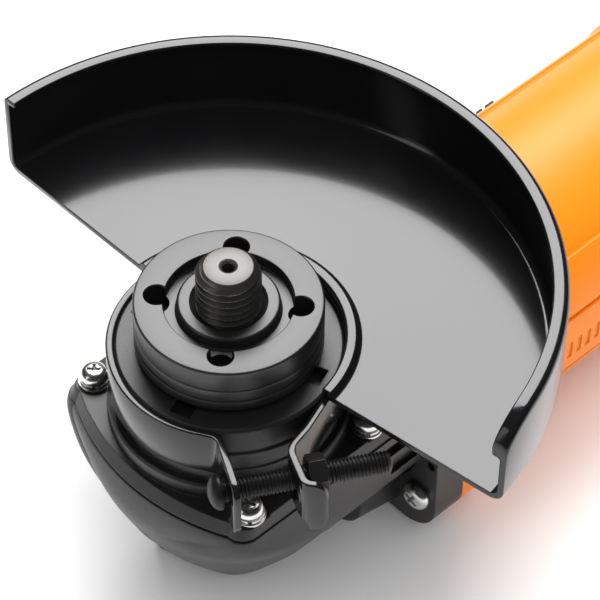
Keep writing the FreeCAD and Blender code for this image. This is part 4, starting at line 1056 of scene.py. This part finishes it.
@dataclass
class ClampBand:
    """The guard's clamp band: a split ring with two ears, its bolt and its nut."""

    radius: float = 25.6
    wall: float = 1.6
    low: float = 59.0
    high: float = 70.9
    tab: float = 2.8
    right_tab: float = 4.3
    left_tab: float = 14.5
    leave: float = -66.0
    arrive: float = 214.5
    right_ear: tuple[Point2, ...] = ((-11.3, -42.6), (-14.4, -38.6), (-10.4, -29.8), (-4.0, -28.4))
    right_bends: tuple[float, ...] = (2.2, 4.5, 8.0)
    left_ear: tuple[Point2, ...] = ((-19.2, -17.6), (-26.6, -31.8))
    left_bends: tuple[float, ...] = (3.0,)
    tip_round: float = 3.2
    edge: float = 0.22
    bolt_at: Point3 = (-25.5, -25.3, 65.0)
    bolt_way: Point3 = (0.8637, -0.5040, 0.0)
    bolt_radius: float = 2.5
    bolt_length: float = 36.0
    head_radius: float = 3.9
    head_height: float = 2.9
    nut_along: float = 18.2
    nut_height: float = 4.0
    nut_corner: float = 4.6

    def path(self) -> list[Vector]:
        """Return the points down the middle of the sheet, from one ear's tip to the other's."""
        turns = [math.radians(self.leave + (self.arrive - self.leave) * i / 120)
                 for i in range(121)]
        ring = [Vector((self.radius * math.cos(a), self.radius * math.sin(a))) for a in turns]
        right = bent([Vector(p) for p in self.right_ear] + [ring[0]], self.right_bends)
        left = bent([ring[-1]] + [Vector(p) for p in self.left_ear], self.left_bends)
        return dense(right[:-1] + ring + left[1:], 0.8)

    def heights(self, run: float, tab_run: float) -> Point2:
        """The sheet's lower and upper edge near an ear's tip.

        Args:
            run: The distance from the tip.
            tab_run: The length of the part that reaches lower.

        Returns:
            The two heights.
        """
        size = self.tip_round
        inset = size - math.sqrt(max(0.0, size ** 2 - max(0.0, size - run) ** 2))
        step = min(1.0, max(0.0, (tab_run + 0.5 - run) / 1.2))
        step = step * step * (3 - 2 * step)
        return self.low - self.tab * step + inset, self.high - inset

    def band(self) -> bpy.types.Object:
        """Build the band.

        Returns:
            The piece, in place of the plain node.
        """
        spots = self.path()
        runs = [0.0]
        for near, far in zip(spots, spots[1:]):
            runs.append(runs[-1] + (far - near).length)
        total = runs[-1]
        rings = []
        for i, (spot, run) in enumerate(zip(spots, runs)):
            ahead = spots[min(i + 1, len(spots) - 1)] - spots[max(i - 1, 0)]
            normal = Vector((ahead.y, -ahead.x)).normalized()
            on_right = run < total - run
            tab_run = self.right_tab if on_right else self.left_tab
            low, high = self.heights(min(run, total - run), tab_run)
            half, edge = self.wall / 2, self.edge
            if i in (0, len(spots) - 1):
                half, low, high = half - edge, low + edge, high - edge
            mid = edge * 0.3
            side = [(half - edge, low), (half - mid, low + mid), (half, low + edge),
                    (half, high - edge), (half - mid, high - mid), (half - edge, high)]
            other = [(-x, z) for x, z in reversed(side)]
            section = other[3:] + side + other[:3]
            rings.append([Vector((spot.x + normal.x * s, spot.y + normal.y * s, z))
                          for s, z in section])
        sheet = Sculpture()
        sheet.loops(rings)
        piece = sheet.to_object("clamp_band", GUARD_ENAMEL, KEEN_TURN)
        hole = Sculpture()
        bore = self.bolt_radius + 0.3
        hole.lathe([(0, -4), (bore, -4), (bore, 25), (0, 25)], 48)
        hole.place(self.along_bolt(0.0))
        carve(piece, [hole], KEEN_TURN)
        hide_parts("guard_band")
        return piece

    def along_bolt(self, run: float) -> Matrix:
        """The frame whose Z runs down the bolt from a distance under its head."""
        way = Vector(self.bolt_way)
        spot = Vector(self.bolt_at) + way * run
        return Matrix.Translation(spot) @ way.to_track_quat("Z", "Y").to_matrix().to_4x4()

    def bolt(self) -> bpy.types.Object:
        """Build the domed bolt with its thread.

        Returns:
            The piece, in place of the plain node.
        """
        head, tall, shank = self.head_radius, self.head_height, self.bolt_radius
        dome = [(head * math.sin(t), -0.55 - (tall - 0.55) * math.cos(t))
                for t in (0.003, 0.2, 0.4, 0.6, 0.8, 1.0, 1.2, 1.4, 1.57)]
        low = dome + [(head, -0.2), (head - 0.2, 0.0), (shank, 0.0), (shank, 0.25)]
        end = self.bolt_length
        tip = [(shank, 0.0), (shank, end - 0.9), (shank - 0.7, end), (0.01, end)]
        shape = threaded(low, shank, 0.8, 0.45, 0.25, end - 0.02, tip, 40, 9)
        shape.place(self.along_bolt(0.0))
        piece = shape.to_object("clamp_bolt_threaded", BLACK_OXIDE, KEEN_TURN)
        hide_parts("clamp_bolt")
        return piece

    def nut(self) -> bpy.types.Object:
        """Build the chamfered hexagon nut.

        Returns:
            The piece, in place of the plain node.
        """
        flat, tall, bore = self.nut_corner * math.cos(math.pi / 6), self.nut_height, 2.53
        steps = [0.0, 0.08, 0.17, 0.27, 0.4]
        levels = steps + [tall - step for step in reversed(steps)]
        rings = []
        for level in levels:
            limit = flat - 0.02 + 1.6 * min(level, tall - level)
            reach = [min(limit, flat / math.cos((a + math.pi / 6) % (math.pi / 3) - math.pi / 6))
                     for a in steps_round(96)]
            rings.append([Vector((r * math.cos(a), r * math.sin(a), level))
                          for r, a in zip(reach, steps_round(96))])
        for radius, level in ((bore + 0.45, tall), (bore, tall - 0.45), (bore, 0.45),
                              (bore + 0.45, 0.0)):
            rings.append(circle(radius, level, 96))
        shape = Sculpture()
        shape.loops(rings, closed=True)
        shape.place(self.along_bolt(self.nut_along))
        piece = shape.to_object("clamp_nut_chamfered", BLACK_OXIDE)
        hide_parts("clamp_nut")
        return piece

    def build(self) -> None:
        """Make the pieces and hang them on the guard's body."""
        for piece, slot in ((self.band(), "gloss_black_steel"), (self.bolt(), "black_fastener"),
                            (self.nut(), "black_fastener")):
            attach(piece, "wheel_guard")
            LOG.info("%s rides on wheel_guard", piece.name)


@dataclass
class Fasteners:
    """The cover's four screws with their washers, and the four flange screws."""

    fore: float = 17.4
    side: float = 25.0
    seat: float = 49.5
    flat: float = 0.8
    spring: float = 1.1
    washer: float = 3.7
    split_outer: float = 3.4
    bore: float = 2.15
    head: float = 3.1
    head_height: float = 2.4
    length: float = 13.0
    flange_at: float = 33.0
    flange_side: float = 27.2
    flange_levels: Point2 = (14.0, 50.0)

    def spots(self) -> list[Vector]:
        """The feet of the four stacks on the cover."""
        return [Vector((x, y, self.seat)) for x in (-self.fore, self.fore)
                for y in (-self.side, self.side)]

    def screw(self, head: float, tall: float, length: float) -> bpy.types.Object:
        """Build one pan-head screw along Z with a real cross recess.

        Args:
            head: The head's radius.
            tall: The head's height.
            length: The length under the head.

        Returns:
            The screw, with its seat at the origin.
        """
        body = Sculpture()
        body.lathe([(0, -length), (1.5, -length), (2.0, -length + 0.6), (2.0, 0), (head - 0.1, 0),
                    (head, 0.12), (head, tall * 0.36), (head * 0.95, tall * 0.55),
                    (head * 0.84, tall * 0.76), (head * 0.66, tall * 0.91),
                    (head * 0.4, tall * 0.98), (0, tall)], 64)
        piece = body.to_object("screw", ZINC)
        cuts = []
        for quarter in (0, math.pi / 2):
            cutter = Sculpture()
            rings = [[Vector((x * long, y * wide, tall + z)) for x, y in
                      ((-1, -1), (1, -1), (1, 1), (-1, 1))]
                     for long, wide, z in ((head * 0.22, 0.22, -tall * 0.62),
                                           (head * 0.6, 0.46, 0.3))]
            cutter.loops(rings)
            cutter.place(Matrix.Rotation(quarter, 4, "Z"))
            cuts.append(cutter)
        carve(piece, cuts)
        return piece

    def set_of(self, name: str, pattern: bpy.types.Object,
               places: list[Matrix]) -> bpy.types.Object:
        """Join copies of a pattern into one piece.

        Args:
            name: The piece's name.
            pattern: The object to copy, which is used up.
            places: Where each copy goes, in millimetres.

        Returns:
            The joined piece.
        """
        whole = bmesh.new()
        for place in places:
            one = pattern.data.copy()
            shift = place.copy()
            shift.translation = place.translation * MM
            one.transform(shift)
            whole.from_mesh(one)
            bpy.data.meshes.remove(one)
        mesh = pattern.data.copy()
        whole.to_mesh(mesh)
        whole.free()
        bpy.data.objects.remove(pattern, do_unlink=True)
        piece = bpy.data.objects.new(name, mesh)
        bpy.context.scene.collection.objects.link(piece)
        smooth(piece, SHARP_TURN)
        return piece

    def washers(self) -> bpy.types.Object:
        """Build the four flat washers."""
        ring = Sculpture()
        ring.lathe(rounded([(self.bore, 0, 0.05), (self.washer, 0, 0.15),
                            (self.washer, self.flat, 0.2), (self.bore, self.flat, 0.1)]), 72)
        pattern = ring.to_object("washer", ZINC)
        return self.set_of("flat_washers", pattern, [Matrix.Translation(s) for s in self.spots()])

    def split_rings(self) -> bpy.types.Object:
        """Build the four split spring washers."""
        gap, rise, tall = math.radians(8), 0.14, self.spring - 0.15
        rings = []
        for i in range(73):
            turn = gap + (2 * math.pi - 2 * gap) * i / 72
            z = rise * i / 72
            edge = 0.1
            section = [(self.bore, z + edge), (self.bore + edge, z), (self.split_outer - edge, z),
                       (self.split_outer, z + edge), (self.split_outer, z + tall - edge),
                       (self.split_outer - edge, z + tall), (self.bore + edge, z + tall),
                       (self.bore, z + tall - edge)]
            rings.append([Vector((r * math.cos(turn), r * math.sin(turn), level))
                          for r, level in section])
        ring = Sculpture()
        ring.loops(rings)
        pattern = ring.to_object("split_ring", ZINC)
        turn = Matrix.Rotation(math.radians(-130), 4, "Z")
        places = [Matrix.Translation(s + Vector((0, 0, self.flat))) @ turn for s in self.spots()]
        return self.set_of("split_washers", pattern, places)

    def cover_screws(self) -> bpy.types.Object:
        """Build the four cover screws."""
        lift = Vector((0, 0, self.flat + self.spring))
        places = [Matrix.Translation(s + lift) @ Matrix.Rotation(math.radians(20 + 25 * i), 4, "Z")
                  for i, s in enumerate(self.spots())]
        return self.set_of("pan_head_screws", self.screw(self.head, self.head_height, self.length),
                           places)

    def flange_screws(self) -> bpy.types.Object:
        """Build the four screws that hold the gear case to the motor housing."""
        back = Matrix.Rotation(math.radians(-90), 4, "Y")
        spots = [Vector((self.flange_at, y, z)) for y in (-self.flange_side, self.flange_side)
                 for z in self.flange_levels]
        places = [Matrix.Translation(s) @ Matrix.Rotation(math.radians(30 + 20 * i), 4, "X") @ back
                  for i, s in enumerate(spots)]
        return self.set_of("flange_screws", self.screw(3.7, 2.7, 20.0), places)

    def build(self) -> None:
        """Make the pieces and hang them on the casing."""
        for piece, node in ((self.washers(), "cover_flat_washers"),
                            (self.split_rings(), "cover_spring_washers"),
                            (self.cover_screws(), "cover_screws"),
                            (self.flange_screws(), "case_screws")):
            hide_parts(node)
            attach(piece, "casing")
            LOG.info("%s rides on casing", piece.name)


@dataclass(frozen=True)
class Lamp:
    """One soft box: its place and target in metres, its size, and its power in watts."""

    name: str
    where: Point3
    aim: Point3
    wide: float
    high: float
    power: float
    mirrored: bool = True


LAMPS = (
    Lamp("top_box", (0.55, 0.57, 1.05), (0.0, 0.0, 0.07), 0.8, 0.8, 21),
    Lamp("left_strip", (-1.2, 0.3, 0.7), (0.0, 0.0, 0.05), 0.25, 1.2, 1.6),
    Lamp("sky_fill", (-0.1, -0.3, 1.7), (0.0, 0.0, 0.0), 2.2, 2.2, 34, False),
    Lamp("front_fill", (-0.5, -1.3, 0.9), (0.0, 0.0, 0.04), 1.2, 0.6, 5, False),
)


@dataclass
class Studio:
    """A pale floor, soft lights and the camera."""

    eye: Point3 = (-280.2285, -311.7367, 566.4835)
    aim: Point3 = (11.02, -10.14, 84.0)
    roll: float = 0.83
    lens: float = 182.67

    def camera(self) -> None:
        """Create the camera and make it the scene's."""
        forward = (Vector(self.aim) - Vector(self.eye)).normalized()
        right = forward.cross(Vector((0, 0, 1))).normalized()
        up = right.cross(forward)
        turn = math.radians(self.roll)
        right, up = right * math.cos(turn) + up * math.sin(turn), \
            up * math.cos(turn) - right * math.sin(turn)
        data = bpy.data.cameras.new("camera")
        data.lens, data.sensor_width = self.lens, 36.0
        data.clip_start, data.clip_end = 0.01, 50.0
        camera = bpy.data.objects.new("camera", data)
        camera.matrix_world = Matrix.Translation(Vector(self.eye) * MM) @ \
            Matrix((right, up, -forward)).transposed().to_4x4()
        bpy.context.scene.collection.objects.link(camera)
        bpy.context.scene.camera = camera

    def light(self, lamp: Lamp) -> None:
        """Add one soft box.

        Args:
            lamp: Its sizes and its power.
        """
        data = bpy.data.lights.new(lamp.name, "AREA")
        data.shape, data.size, data.size_y = "RECTANGLE", lamp.wide, lamp.high
        data.energy = lamp.power
        box = bpy.data.objects.new(lamp.name, data)
        box.location = lamp.where
        box.visible_glossy = lamp.mirrored
        way = Vector(lamp.aim) - Vector(lamp.where)
        box.rotation_euler = way.to_track_quat("-Z", "Y").to_euler()
        bpy.context.scene.collection.objects.link(box)

    def floor(self) -> None:
        """Lay the pale floor."""
        sheet = Sculpture()
        half = 4000.0
        sheet.bm.faces.new([sheet.bm.verts.new((x * half, y * half, 0.0))
                            for x, y in ((-1, -1), (1, -1), (1, 1), (-1, 1))])
        shader = Shader("pale_floor")
        cloud = shader.noise(0.004, 3.0)
        colour = shader.tint(cloud, (0.93, 0.93, 0.93), (0.9, 0.9, 0.9))
        shader.finish(base_color=colour, roughness=0.85 + cloud * 0.1, specular_ior_level=0.1)
        floor = sheet.to_object("floor", Finish("pale_floor"))

    def world(self) -> None:
        """Fill the room with a soft grey light."""
        world = bpy.data.worlds.new("studio")
        world.use_nodes = True
        background = world.node_tree.nodes["Background"]
        background.inputs["Color"].default_value = (1.0, 1.0, 1.0, 1.0)
        background.inputs["Strength"].default_value = 0.035
        bpy.context.scene.world = world

    def build(self) -> None:
        """Set the scene up."""
        bpy.context.scene.view_settings.view_transform = "Standard"
        self.camera()
        self.floor()
        self.world()
        for lamp in LAMPS:
            self.light(lamp)


def main() -> None:
    """Build every sub-assembly and report it."""
    logging.basicConfig(level=logging.INFO, format="%(name)s: %(message)s")
    Studio().build()
    for finish, nodes in CARRIED.items():
        for node in nodes.split():
            dress(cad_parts[node], finish)
            LOG.info("%s wears %s", node, finish.name)
    SpindleLine().build()
    WheelGuard().build()
    ClampBand().build()
    Fasteners().build()


if __name__ == "__main__":
    main()
